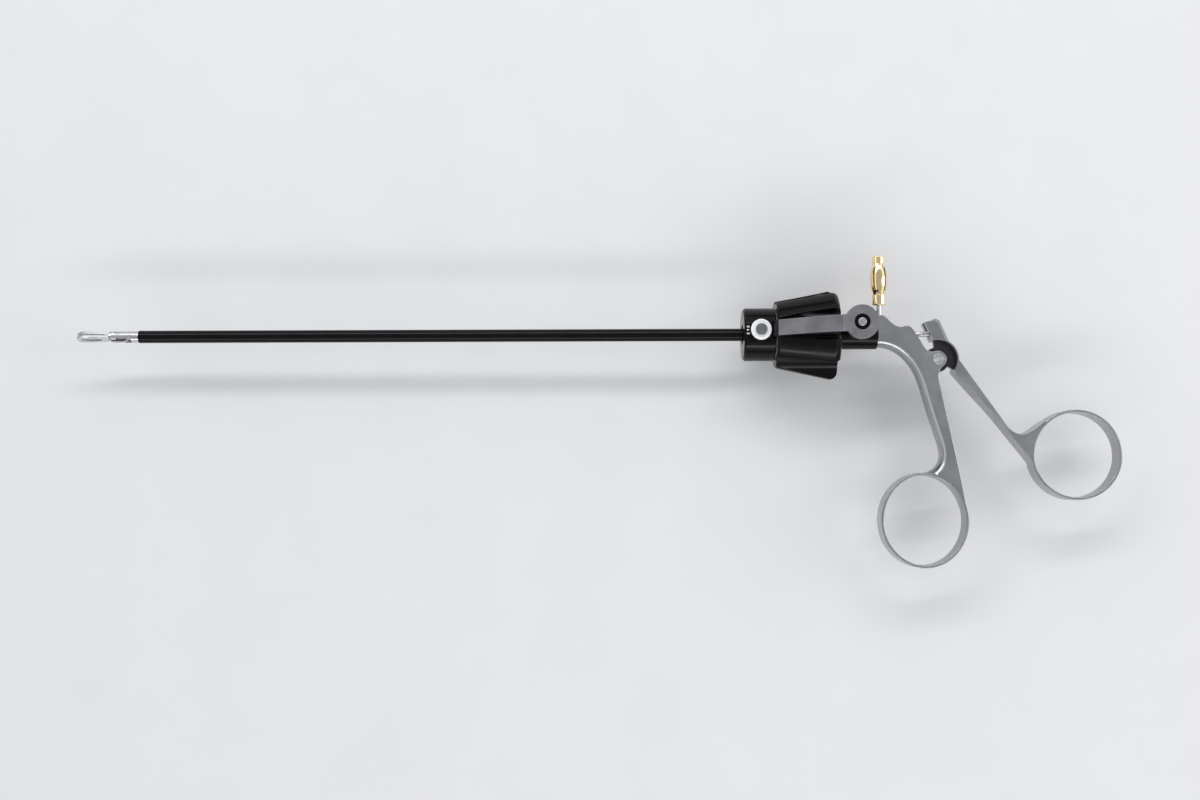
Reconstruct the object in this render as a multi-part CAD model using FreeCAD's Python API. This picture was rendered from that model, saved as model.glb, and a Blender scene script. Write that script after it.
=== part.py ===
"""Laparoscopic grasper: ring handle, rotating shaft and two fenestrated jaws.

The instrument lies on its side. X runs along the shaft from the jaws (-X) to the handle (+X),
Y points the way the connector pin stands, and Z points up, away from the table. The origin is on
the shaft's axis, at the front face of the collar. Lengths are in millimetres, angles in degrees
unless a name says otherwise.
"""
import math
import os

import FreeCAD
import Part

V = FreeCAD.Vector
AXIS_X = V(1, 0, 0)
AXIS_Y = V(0, 1, 0)
AXIS_Z = V(0, 0, 1)
ORIGIN = V(0, 0, 0)

# Fits and clearances
RUN_GAP = 0.05          # a shaft or pin that turns or slides in its bore
SEAT_GAP = 0.02         # a piece that is pressed, glued or screwed into its seat
FACE_GAP = 0.05         # flat faces that slide past each other
SWEEP_GAP = 0.4         # a turning piece and what it swings past

# Shaft
SHAFT_LENGTH = 241.9    # insulated shaft in front of the collar
SHAFT_RADIUS = 2.5
INSULATION_WALL = 0.48
TUBE_WALL = 0.5
ROD_RADIUS = 1.0
SLEEVE_INSERTION = 16.0  # how far the insulation runs on, behind the collar's front face
SLEEVE_STEP = 0.2       # the sleeve is this much thinner inside the collar

# Jaws and their clevis
JAW_LENGTH = 14.9       # pivot to tip
JAW_HALF_WIDTH = 1.7
JAW_HEIGHT = 1.35       # one jaw, at its thickest
JAW_REST_ANGLE = 2.0    # each jaw, from closed
JAW_ROLL = -32.0        # how far the jaws' pivot lies turned about the shaft from straight up
JAW_PIN_RADIUS = 0.7
JAW_BOSS_RADIUS = 1.9
JAW_PLATE = 1.0         # thickness of a jaw's tail
JAW_ROUND_RADIUS = 1.95  # radius of the jaws' backs, seen along the shaft
TAIL_WALL = 0.5         # metal beside the drive slot
TOOTH_PITCH = 0.8
TOOTH_DEPTH = 0.18
WINDOW_LENGTH = 7.0     # opening through each jaw
WINDOW_HALF_WIDTH = 0.7
CLEVIS_RADIUS = 2.3
CLEVIS_LENGTH = 10.1    # pivot to the shoulder that meets the tube
CLEVIS_SLOT = 7.3       # pivot to the end of the slot
CLEVIS_EAR_RADIUS = 1.85
SPIGOT_LENGTH = 4.0
DRIVE_PIN_RADIUS = 0.4
DRIVE_PIN_PLACE = 5.4   # pivot to drive pin at rest
DRIVE_GAIN = 0.15       # radians a jaw turns for each millimetre that the rod moves
TANG_THICKNESS = 0.8
TANG_HALF_HEIGHT = 0.9
TRAVEL_MARGIN = 0.1     # slot beyond the drive pin at each end of its travel

# Lever travel
LEVER_OPEN = 18.0
LEVER_SHUT = 1.2

# Front collar and its bush
COLLAR_LENGTH = 12.7
COLLAR_RADIUS = 10.6
COLLAR_MOUTH_RADIUS = 4.1
COLLAR_EDGE = 0.8
BUSH_LENGTH = 6.0
BUSH_RECESS = 1.4
JOURNAL_RADIUS = 6.0
JOURNAL_LENGTH = 4.0
WASHER_THICKNESS = 0.25

# Rotation knob
KNOB_FRONT_RADIUS = 13.6
KNOB_REAR_RADIUS = 18.2
KNOB_LENGTH = 24.5
KNOB_LIP = 2.8          # rounding of the petals' rear ends
PETALS = 5
SCOOP_RADIUS = 6.5
SCOOP_FLOOR = 12.1      # least radius of the knob between two petals
KNOB_TURN = 8.0         # how far the near scoop is turned from straight up
KNOB_CUP_RADIUS = 9.0
KNOB_CUP_DEPTH = 9.0
HUB_RADIUS = 3.6
HUB_LENGTH = 12.0
SET_SCREW_RADIUS = 1.25
SET_SCREW_LENGTH = 5.0

# Insulating housing behind the knob
HOUSING_RADIUS = 6.0
HOUSING_LENGTH = 15.4
HOUSING_NOSE_RADIUS = 4.6
HOUSING_NOSE_LENGTH = 6.0
HOUSING_GAP = 0.6       # behind the knob
SPIGOT_RADIUS = 3.0
HOUSING_SPIGOT = 6.0
TUBE_TAIL = 4.0         # how far the tube reaches into the housing's body
CLIP_RADIUS = 3.0
CLIP_THICKNESS = 0.7
CHAMBER_RADIUS = 3.4
SEAL_GAP = 0.4          # tube's rear end to the seal
SEAL_THICKNESS = 1.8
GLAND_LENGTH = 4.0

# Side arm from the collar to the housing
ARM_THICKNESS = 1.8
ARM_HALF_WIDTH_FRONT = 3.0
ARM_HALF_WIDTH_REAR = 3.3
ARM_EYE_RADIUS = 4.7
ARM_EYE = (6.4, 0.8)
ARM_DISC_RADIUS = 6.7
ARM_DISC_PLACE = (6.6, 2.7)  # from the housing's front end on the axis
ARM_DISC_THICKNESS = 2.4
ARM_BEND = 8.8          # knob's rear end to the bend where the arm levels out
ARM_SEAT = 10.0         # height of the flat that the eye sits on
POST_RADIUS = 5.2
ARM_BUSH_RADIUS = 3.1
ARM_PIN_RADIUS = 1.65
BUTTON_RADIUS = 4.1
BUTTON_THICKNESS = 0.8
SCREW_RADIUS = 1.25
SCREW_HEAD_RADIUS = 2.3

# Handle
HANDLE_THICKNESS = 9.6
PIVOT_REACH = 23.9      # housing's rear end to the lever's pivot
PIVOT_DROP = 10.5       # rod axis to the lever's pivot
PIVOT_SCREW_RADIUS = 1.6
PIVOT_HEAD_RADIUS = 2.25
PIVOT_HEAD_HEIGHT = 0.9
PIVOT_BOSS_RADIUS = 3.4
TONGUE_THICKNESS = 3.3
TONGUE_RADIUS = 5.0
WEB_THICKNESS = 2.2
LEVER_ARC_RADIUS = 7.7
LEVER_RIM = 0.6
FRAME_SLOT_RADIUS = 5.4
PALM_ROUNDING = 3.2
RING_WALL = 1.1
FINGER_RING_PLACE = (-6.35, -63.9)  # from the pivot
FINGER_RING_HALF_WIDTH = 17.4
FINGER_RING_HALF_HEIGHT = 18.9
THUMB_RING_PLACE = (54.3, -38.2)
THUMB_RING_RADIUS = 17.95
BALL_RADIUS = 2.0
BLOCK_CHAMFER = 1.2     # on the ball block's rear and top edges
SOCKET_GAP = 0.2
ROD_SLOT = 2.5
ROD_CLEARANCE = 0.3     # radial, where the rod passes a wall that isn't its bearing
FRAME_CREST = 7.2       # height of the frame under the connector
SPIGOT_END_GAP = 0.2

# Connector pin
PLUG_PLACE = 1.5        # housing's rear end to the plug's axis
PLUG_FOOT = 11.6        # shaft axis to the plug's lower end
PLUG_LENGTH = 20.0
PLUG_BASE_RADIUS = 2.65
PLUG_BASE_LENGTH = 4.2
PLUG_TOP_RADIUS = 2.45
PLUG_TOP_LENGTH = 3.1
PLUG_CORE_RADIUS = 1.5
CAGE_RADIUS = 3.35
CAGE_END_RADIUS = 2.4
CAGE_WALL = 0.35
CAGE_LEAVES = 4
CAGE_SLIT = 0.8
STEM_RADIUS = 1.0
STEM_DEPTH = 3.4

# Worked out from the sizes above
TUBE_RADIUS = SHAFT_RADIUS - INSULATION_WALL - SEAT_GAP
TUBE_BORE = TUBE_RADIUS - TUBE_WALL
CLEVIS_SHOULDER = -SHAFT_LENGTH
JAW_PIVOT_X = CLEVIS_SHOULDER - CLEVIS_LENGTH
TANG_HALF = TANG_THICKNESS / 2
TAIL_INNER = TANG_HALF + FACE_GAP
TAIL_OUTER = TAIL_INNER + JAW_PLATE
CLEVIS_HALF_SLOT = TAIL_OUTER + FACE_GAP
DRIVE_SLOT_HALF = DRIVE_PIN_RADIUS + RUN_GAP
TAIL_HALF = DRIVE_SLOT_HALF + TAIL_WALL
JOURNAL_SLEEVE_RADIUS = SHAFT_RADIUS - SLEEVE_STEP
LEVER_ARM = PIVOT_DROP
ROD_FORWARD = LEVER_ARM * math.radians(LEVER_OPEN)
ROD_BACK = LEVER_ARM * math.radians(LEVER_SHUT)
KNOB_START = COLLAR_LENGTH + WASHER_THICKNESS + FACE_GAP
KNOB_END = KNOB_START + KNOB_LENGTH
HOUSING_START = KNOB_END + HOUSING_GAP
HOUSING_END = HOUSING_START + HOUSING_LENGTH
TUBE_END = HOUSING_START + TUBE_TAIL
SEAL_START = TUBE_END + SEAL_GAP
ARM_DISC = (HOUSING_START + ARM_DISC_PLACE[0], ARM_DISC_PLACE[1])
PLUG_X = HOUSING_END + PLUG_PLACE
PIVOT_X = HOUSING_END + PIVOT_REACH
PIVOT = V(PIVOT_X, -PIVOT_DROP, 0)
FINGER_RING = (PIVOT_X + FINGER_RING_PLACE[0], -PIVOT_DROP + FINGER_RING_PLACE[1])
THUMB_RING = (PIVOT_X + THUMB_RING_PLACE[0], -PIVOT_DROP + THUMB_RING_PLACE[1])
HALF_HANDLE = HANDLE_THICKNESS / 2
ARM_LOW = KNOB_REAR_RADIUS + SWEEP_GAP
ARM_FRONT_LOW = KNOB_FRONT_RADIUS + SWEEP_GAP


def rod_x(radius, start, end, y=0.0, z=0.0):
    """Cylinder along X."""
    return Part.makeCylinder(radius, end - start, V(start, y, z), AXIS_X)


def rod_z(radius, low, high, x, y):
    """Cylinder along Z."""
    return Part.makeCylinder(radius, high - low, V(x, y, low), AXIS_Z)


def rod_y(radius, low, high, x, z=0.0):
    """Cylinder along Y."""
    return Part.makeCylinder(radius, high - low, V(x, low, z), AXIS_Y)


def ring_x(outer, inner, start, end):
    """Tube along X."""
    return rod_x(outer, start, end).cut(rod_x(inner, start - 1, end + 1))


def block(x0, x1, y0, y1, z0, z1):
    """Box between two corners."""
    return Part.makeBox(x1 - x0, y1 - y0, z1 - z0, V(x0, y0, z0))


def smooth(points):
    """Curve through points in the XY plane."""
    curve = Part.BSplineCurve()
    curve.interpolate([V(x, y, 0) for x, y in points])
    return curve.toShape()


def line(start, end):
    return Part.LineSegment(V(start[0], start[1], 0), V(end[0], end[1], 0)).toShape()


def arc(start, middle, end):
    return Part.Arc(V(*start, 0), V(*middle, 0), V(*end, 0)).toShape()


def polar(centre, radius, degrees):
    """Point on a circle in the XY plane."""
    angle = math.radians(degrees)
    return (centre[0] + radius * math.cos(angle), centre[1] + radius * math.sin(angle))


def spots(start, end, shares):
    """Points given as shares of the way from start to end, in x and in y."""
    return [(start[0] + (end[0] - start[0]) * across, start[1] + (end[1] - start[1]) * along)
            for across, along in shares]


def around(centre, radius, places):
    """Points given as (share of the radius, degrees) about a centre."""
    return [polar(centre, radius * share, degrees) for share, degrees in places]


def slab(edges, low, high):
    """Solid with the outline given by edges, between two heights."""
    face = Part.Face(Part.Wire(Part.__sortEdges__(edges)))
    solid = face.extrude(V(0, 0, high - low))
    solid.translate(V(0, 0, low))
    return solid


def turned(points, base=ORIGIN, axis=AXIS_X):
    """Solid of revolution; points are (along, radius) from base along axis X or Y."""
    if axis == AXIS_X:
        corners = [V(a, r, 0) for a, r in points]
    else:
        corners = [V(r, a, 0) for a, r in points]
    wire = Part.makePolygon(corners + [corners[0]])
    solid = Part.Face(wire).revolve(ORIGIN, axis, 360)
    solid.translate(base)
    return solid


def band(centres, half, low, high):
    """Slot or rib of width twice half that follows a curve, with round ends."""
    left = []
    right = []
    for index, point in enumerate(centres):
        before = centres[max(index - 1, 0)]
        after = centres[min(index + 1, len(centres) - 1)]
        along = (after[0] - before[0], after[1] - before[1])
        length = math.hypot(*along)
        normal = (-along[1] / length, along[0] / length)
        left.append((point[0] + normal[0] * half, point[1] + normal[1] * half))
        right.append((point[0] - normal[0] * half, point[1] - normal[1] * half))
    middle = slab([smooth(left), line(left[-1], right[-1]), smooth(right), line(right[0], left[0])],
                  low, high)
    ends = [rod_z(half, low, high, *centres[0]), rod_z(half, low, high, *centres[-1])]
    return middle.multiFuse(ends)


def clean(shape):
    """One tidy solid."""
    tidy = shape.removeSplitter()
    return tidy.Solids[0] if len(tidy.Solids) == 1 else tidy


# Jaws

def drive_path(forward, back, steps=9):
    """Centre line of the drive pin in an upper jaw's tail, as seen from its pivot."""
    near = DRIVE_PIN_PLACE - forward
    far = DRIVE_PIN_PLACE + back
    points = []
    for step in range(steps):
        reach = near + (far - near) * step / (steps - 1)
        angle = DRIVE_GAIN * (DRIVE_PIN_PLACE - reach)
        points.append((reach * math.cos(angle), reach * math.sin(angle)))
    return points


def open_tail_reach():
    """How far behind the pivot the opened tails still stand in the round rod's way."""
    swing = DRIVE_GAIN * ROD_FORWARD
    reach = CLEVIS_SLOT - ROD_FORWARD
    for x, y in drive_path(ROD_FORWARD, ROD_BACK):
        behind = x * math.cos(swing) + y * math.sin(swing)
        above = y * math.cos(swing) - x * math.sin(swing)
        if above + TAIL_HALF + RUN_GAP > -ROD_RADIUS:
            reach = max(reach, behind + TAIL_HALF)
    return reach


def jaw_outline():
    """Side view of an upper jaw, closed, with its pivot at the origin."""
    tip = (-JAW_LENGTH, 0.3)
    back = [tip, (-JAW_LENGTH + 0.7, 0.55 * JAW_HEIGHT), (-JAW_LENGTH + 3.0, 0.88 * JAW_HEIGHT),
            (-0.58 * JAW_LENGTH, JAW_HEIGHT), (-0.34 * JAW_LENGTH, 0.9 * JAW_HEIGHT),
            (-JAW_BOSS_RADIUS, 0.86 * JAW_HEIGHT), (0.0, 0.8 * JAW_HEIGHT)]
    return [smooth(back), line(back[-1], (0, 0)), line((0, 0), (0.3 - JAW_LENGTH, 0)),
            arc((0.3 - JAW_LENGTH, 0), (0.09 - JAW_LENGTH, 0.09), tip)]


def jaw_plan():
    """Top view of a jaw: a blunt tip that widens to the full width; drawn in XY, used in XZ."""
    half = JAW_HALF_WIDTH
    side = [(-JAW_LENGTH, 0.45 * half), (-JAW_LENGTH + 1.6, 0.86 * half),
            (-0.66 * JAW_LENGTH, half), (-0.4 * JAW_LENGTH, 0.92 * half), (1.0, 0.88 * half)]
    other = [(x, -y) for x, y in side]
    return [smooth(side), line(side[-1], other[-1]), smooth(other), line(other[0], side[0])]


def upper_jaw():
    """Upper jaw at rest, its pivot at the origin and its tip towards -X."""
    tall = 4 * JAW_HEIGHT
    plan = slab(jaw_plan(), -tall, tall)
    plan.rotate(ORIGIN, AXIS_X, 90)
    body = slab(jaw_outline(), -JAW_HALF_WIDTH, JAW_HALF_WIDTH).common(plan)
    body = body.common(rod_x(JAW_ROUND_RADIUS, -JAW_LENGTH - 1, 1))
    clear = JAW_BOSS_RADIUS + 4 * FACE_GAP
    outside = rod_z(clear, -3, 3, 0, 0).cut(rod_z(clear + 1, TAIL_INNER, TAIL_OUTER, 0, 0))
    body = body.cut(outside)
    window = band([(-JAW_LENGTH + 2.6 + WINDOW_LENGTH, 0), (-JAW_LENGTH + 2.6, 0)],
                  WINDOW_HALF_WIDTH, -tall, tall)
    window.rotate(ORIGIN, AXIS_X, 90)
    body = body.cut(window)
    teeth = []
    count = int((JAW_LENGTH - 4.0) / TOOTH_PITCH)
    for tooth in range(count):
        place = -JAW_LENGTH + 1.0 + tooth * TOOTH_PITCH
        corners = [V(place, -0.01, -3), V(place + TOOTH_PITCH / 2, TOOTH_DEPTH, -3),
                   V(place + 0.75 * TOOTH_PITCH, -0.01, -3), V(place, -0.01, -3)]
        teeth.append(Part.Face(Part.makePolygon(corners)).extrude(V(0, 0, 6)))
    body = body.cut(Part.makeCompound(teeth))
    body.rotate(ORIGIN, AXIS_Z, -JAW_REST_ANGLE)
    boss = rod_z(JAW_BOSS_RADIUS, TAIL_INNER, TAIL_OUTER, 0, 0)
    path = drive_path(ROD_FORWARD + TRAVEL_MARGIN, ROD_BACK + TRAVEL_MARGIN)
    tail = band(path, TAIL_HALF, TAIL_INNER, TAIL_OUTER)
    tail = tail.common(rod_x(CLEVIS_RADIUS, -1, 2 * DRIVE_PIN_PLACE))
    slot = band(path, DRIVE_SLOT_HALF, TAIL_INNER - 1, TAIL_OUTER + 1)
    bore = rod_z(JAW_PIN_RADIUS + RUN_GAP, -3, 3, 0, 0)
    return clean(body.multiFuse([boss, tail]).cut(slot).cut(bore))


def lower_jaw():
    """Lower jaw: the same forging turned over about the shaft's axis."""
    jaw = upper_jaw()
    jaw.rotate(ORIGIN, AXIS_X, 180)
    return jaw


def at_jaw_pivot(shape):
    """A jaw in its place, turned about the shaft as it lies."""
    shape.translate(V(JAW_PIVOT_X, 0, 0))
    return rolled(shape)


def rolled(shape):
    shape.rotate(ORIGIN, AXIS_X, JAW_ROLL)
    return shape


def clevis():
    """Steel end of the shaft: two ears round the jaws' tails and a spigot in the tube."""
    front = JAW_PIVOT_X - CLEVIS_EAR_RADIUS
    body = rod_x(CLEVIS_RADIUS, front, CLEVIS_SHOULDER)
    spigot = rod_x(TUBE_BORE - SEAT_GAP, CLEVIS_SHOULDER, CLEVIS_SHOULDER + SPIGOT_LENGTH)
    slot_end = JAW_PIVOT_X + CLEVIS_SLOT
    slot = block(front - 1, slot_end, -3, 3, -CLEVIS_HALF_SLOT, CLEVIS_HALF_SLOT)
    nose = block(front - 1, JAW_PIVOT_X, -3, 3, -3, 3)
    nose = nose.cut(rod_z(CLEVIS_EAR_RADIUS, -4, 4, JAW_PIVOT_X, 0))
    bore = rod_x(ROD_RADIUS + RUN_GAP, front, CLEVIS_SHOULDER + SPIGOT_LENGTH + 1)
    pin_hole = rod_z(JAW_PIN_RADIUS + SEAT_GAP, -4, 4, JAW_PIVOT_X, 0)
    return rolled(clean(body.fuse(spigot).cut(slot).cut(nose).cut(bore).cut(pin_hole)))


def jaw_pin():
    """Riveted pin flush with the clevis' round sides."""
    pin = rod_z(JAW_PIN_RADIUS, -4, 4, JAW_PIVOT_X, 0)
    return rolled(pin.common(rod_x(CLEVIS_RADIUS, JAW_PIVOT_X - 2, JAW_PIVOT_X + 2)))


def push_rod():
    """Rod from the drive pin's tang to the ball's stem."""
    pin_x = JAW_PIVOT_X + DRIVE_PIN_PLACE
    tang_start = pin_x - DRIVE_PIN_RADIUS - 0.35
    tang_end = JAW_PIVOT_X + open_tail_reach() + ROD_FORWARD
    tang = block(tang_start, tang_end, -TANG_HALF_HEIGHT, TANG_HALF_HEIGHT, -TANG_HALF, TANG_HALF)
    rod = rod_x(ROD_RADIUS, tang_end, PIVOT_X - BALL_RADIUS + 0.6)
    hole = rod_z(DRIVE_PIN_RADIUS + SEAT_GAP, -3, 3, pin_x, 0)
    socket = Part.makeSphere(BALL_RADIUS + SEAT_GAP, V(PIVOT_X, 0, 0))
    return rolled(clean(rod.fuse(tang).cut(hole).cut(socket)))


def drive_pin():
    place = JAW_PIVOT_X + DRIVE_PIN_PLACE
    return rolled(rod_z(DRIVE_PIN_RADIUS, -TAIL_OUTER, TAIL_OUTER, place, 0))


def rod_ball():
    return Part.makeSphere(BALL_RADIUS, V(PIVOT_X, 0, 0))


# Shaft

def shaft_tube():
    return ring_x(TUBE_RADIUS, TUBE_BORE, CLEVIS_SHOULDER, TUBE_END)


def insulation_sleeve():
    """Black insulation: full size in front of the collar, a little thinner inside it."""
    bore = TUBE_RADIUS + SEAT_GAP
    profile = [(CLEVIS_SHOULDER, bore), (CLEVIS_SHOULDER, SHAFT_RADIUS), (0, SHAFT_RADIUS),
               (0, JOURNAL_SLEEVE_RADIUS), (SLEEVE_INSERTION, JOURNAL_SLEEVE_RADIUS),
               (SLEEVE_INSERTION, bore)]
    return turned(profile)


def retaining_clip():
    """Open spring ring that holds the tube's rear end in the housing."""
    start = TUBE_END - 0.6 - CLIP_THICKNESS
    clip = ring_x(CLIP_RADIUS, TUBE_RADIUS + SEAT_GAP, start, start + CLIP_THICKNESS)
    return clip.cut(block(start - 1, start + 2, 0, CLIP_RADIUS + 1, -0.6, 0.6))


# Front collar

def front_collar():
    """Fixed collar that carries the shaft's front bearing and the knob's journal."""
    edge = COLLAR_EDGE
    body = turned([(0, 0), (0, COLLAR_RADIUS - edge), (edge, COLLAR_RADIUS),
                   (COLLAR_LENGTH - 0.5 * edge, COLLAR_RADIUS),
                   (COLLAR_LENGTH, COLLAR_RADIUS - 0.5 * edge), (COLLAR_LENGTH, 0)])
    mouth = rod_x(COLLAR_MOUTH_RADIUS, -1, COLLAR_LENGTH + 1)
    journal_depth = JOURNAL_LENGTH + FACE_GAP
    journal = rod_x(JOURNAL_RADIUS + RUN_GAP, COLLAR_LENGTH - journal_depth, COLLAR_LENGTH + 1)
    flat = rod_z(ARM_EYE_RADIUS + SEAT_GAP, ARM_SEAT, COLLAR_RADIUS + 1, *ARM_EYE)
    half = ARM_HALF_WIDTH_FRONT + SWEEP_GAP
    flat = flat.fuse(block(ARM_EYE[0], COLLAR_LENGTH + 1, ARM_EYE[1] - half, ARM_EYE[1] + half,
                           ARM_SEAT, COLLAR_RADIUS + 1))
    thread = rod_z(SCREW_RADIUS + SEAT_GAP, 0, ARM_SEAT + 1, *ARM_EYE)
    return clean(body.cut(mouth).cut(journal).cut(flat).cut(thread))


def nose_bush():
    """Plain bearing between the collar and the insulated shaft."""
    return ring_x(COLLAR_MOUTH_RADIUS - SEAT_GAP, JOURNAL_SLEEVE_RADIUS + RUN_GAP,
                  BUSH_RECESS, BUSH_RECESS + BUSH_LENGTH)


def thrust_washer():
    return ring_x(COLLAR_RADIUS - 1.0, JOURNAL_RADIUS + RUN_GAP,
                  COLLAR_LENGTH, COLLAR_LENGTH + WASHER_THICKNESS)


# Rotation knob

def knob_blank():
    """Flared body of the knob before the scoops are cut, with its front journal."""
    front = KNOB_START
    end = KNOB_END
    journal_start = COLLAR_LENGTH - JOURNAL_LENGTH
    flare_end = end - KNOB_LIP
    lip_radius = KNOB_REAR_RADIUS - KNOB_LIP * 0.9
    edges = [
        line((journal_start, 0), (journal_start, JOURNAL_RADIUS)),
        line((journal_start, JOURNAL_RADIUS), (front, JOURNAL_RADIUS)),
        line((front, JOURNAL_RADIUS), (front, KNOB_FRONT_RADIUS - 0.6)),
        line((front, KNOB_FRONT_RADIUS - 0.6), (front + 0.6, KNOB_FRONT_RADIUS)),
        smooth([(front + 0.6, KNOB_FRONT_RADIUS), (front + 0.5 * KNOB_LENGTH,
                0.46 * KNOB_FRONT_RADIUS + 0.54 * KNOB_REAR_RADIUS), (flare_end, KNOB_REAR_RADIUS)]),
        arc((flare_end, KNOB_REAR_RADIUS), (end - 0.3 * KNOB_LIP, KNOB_REAR_RADIUS - 0.28 * KNOB_LIP),
            (end, lip_radius)),
        line((end, lip_radius), (end, 0)),
        line((end, 0), (journal_start, 0)),
    ]
    return Part.Face(Part.Wire(edges)).revolve(ORIGIN, AXIS_X, 360)


def rotation_knob():
    """Five-petalled knob: scoops for the finger between the petals, a cup at the rear."""
    knob = knob_blank()
    centre = SCOOP_FLOOR + SCOOP_RADIUS
    for petal in range(PETALS):
        scoop = rod_x(SCOOP_RADIUS, KNOB_START - 1, KNOB_END + 1, 0, centre)
        scoop.rotate(ORIGIN, AXIS_X, -KNOB_TURN + petal * 360.0 / PETALS)
        knob = knob.cut(scoop)
    cup = rod_x(KNOB_CUP_RADIUS, KNOB_END - KNOB_CUP_DEPTH, KNOB_END + 1)
    hub_end = KNOB_END - KNOB_CUP_DEPTH
    hub = rod_x(HUB_RADIUS + SEAT_GAP, hub_end - HUB_LENGTH, hub_end + 1)
    shaft = rod_x(JOURNAL_SLEEVE_RADIUS + SEAT_GAP, 0, hub_end)
    knob = knob.cut(cup).cut(hub).cut(shaft)
    return clean(knob.cut(set_screw_hole()))


def set_screw_place():
    """Middle of the set screw along the shaft."""
    return KNOB_END - KNOB_CUP_DEPTH - HUB_LENGTH / 2


def set_screw_hole():
    hole = rod_z(SET_SCREW_RADIUS + SEAT_GAP, TUBE_RADIUS, SCOOP_FLOOR + 6, set_screw_place(), 0)
    hole.rotate(ORIGIN, AXIS_X, -KNOB_TURN + 360.0 / PETALS)
    return hole


def knob_hub():
    """Steel hub fixed to the tube; the set screw holds the knob on it."""
    end = KNOB_END - KNOB_CUP_DEPTH
    hub = ring_x(HUB_RADIUS, TUBE_RADIUS + SEAT_GAP, end - HUB_LENGTH + SEAT_GAP, end)
    return clean(hub.cut(set_screw_hole()))


def knob_set_screw():
    """Headless screw with a hexagon socket, at the bottom of one scoop."""
    low = TUBE_RADIUS + SEAT_GAP
    x = set_screw_place()
    screw = rod_z(SET_SCREW_RADIUS, low + 0.4, low + SET_SCREW_LENGTH, x, 0)
    tip = Part.makeCone(0.6, SET_SCREW_RADIUS, 0.4, V(x, 0, low), AXIS_Z)
    socket = hexagon(0.7, low + SET_SCREW_LENGTH - 1.5, low + SET_SCREW_LENGTH + 1, x, 0)
    screw = screw.fuse(tip).cut(socket)
    screw.rotate(ORIGIN, AXIS_X, -KNOB_TURN + 360.0 / PETALS)
    return clean(screw)


def hexagon(radius, low, high, x, y):
    """Six-sided prism along Z, radius to its corners."""
    corners = [polar((x, y), radius, 60 * k) for k in range(6)]
    return slab([line(corners[k], corners[(k + 1) % 6]) for k in range(6)], low, high)


# Housing behind the knob

def insulating_housing():
    """Black housing: bearing nose in the knob's cup, round body with the arm's post, rear spigot."""
    start = HOUSING_START
    end = HOUSING_END
    nose = rod_x(HOUSING_NOSE_RADIUS, start - HOUSING_NOSE_LENGTH, start + 1)
    body = turned([(start, 0), (start, HOUSING_RADIUS - 0.5), (start + 0.5, HOUSING_RADIUS),
                   (end, HOUSING_RADIUS), (end, 0)])
    post = rod_z(POST_RADIUS, 0, ARM_LOW, *ARM_DISC)
    spigot = rod_x(SPIGOT_RADIUS, end - 1, end + HOUSING_SPIGOT)
    shape = nose.multiFuse([body, post, spigot])
    tube_bore = rod_x(TUBE_RADIUS + RUN_GAP, start - HOUSING_NOSE_LENGTH - 1, start + 2)
    chamber = rod_x(CHAMBER_RADIUS, start + 1, chamber_end())
    rod_bore = rod_x(ROD_RADIUS + ROD_CLEARANCE, start, end + HOUSING_SPIGOT + 1)
    pin = rod_z(ARM_PIN_RADIUS + SEAT_GAP, post_pin_foot(), ARM_LOW + 1, *ARM_DISC)
    recess = rod_z(ARM_BUSH_RADIUS + SEAT_GAP, ARM_LOW - 1.2, ARM_LOW + 1, *ARM_DISC)
    return clean(shape.cut(tube_bore).cut(chamber).cut(rod_bore).cut(pin).cut(recess))


def chamber_end():
    return SEAL_START + SEAL_THICKNESS + GLAND_LENGTH


def post_pin_foot():
    """Height at which the arm's pin ends inside the post."""
    return HOUSING_RADIUS + 1.5


def rod_seal():
    """Rubber seal on the push rod, in the housing's chamber."""
    return ring_x(CHAMBER_RADIUS - SEAT_GAP, ROD_RADIUS + RUN_GAP,
                  SEAL_START, SEAL_START + SEAL_THICKNESS)


def seal_gland():
    """Threaded bush that presses the seal home."""
    start = SEAL_START + SEAL_THICKNESS
    gland = ring_x(CHAMBER_RADIUS - SEAT_GAP, ROD_RADIUS + 0.2, start, start + GLAND_LENGTH)
    slots = block(start + GLAND_LENGTH - 1, start + GLAND_LENGTH + 1, -5, 5, -0.5, 0.5)
    return clean(gland.cut(slots))


# Side arm

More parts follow.
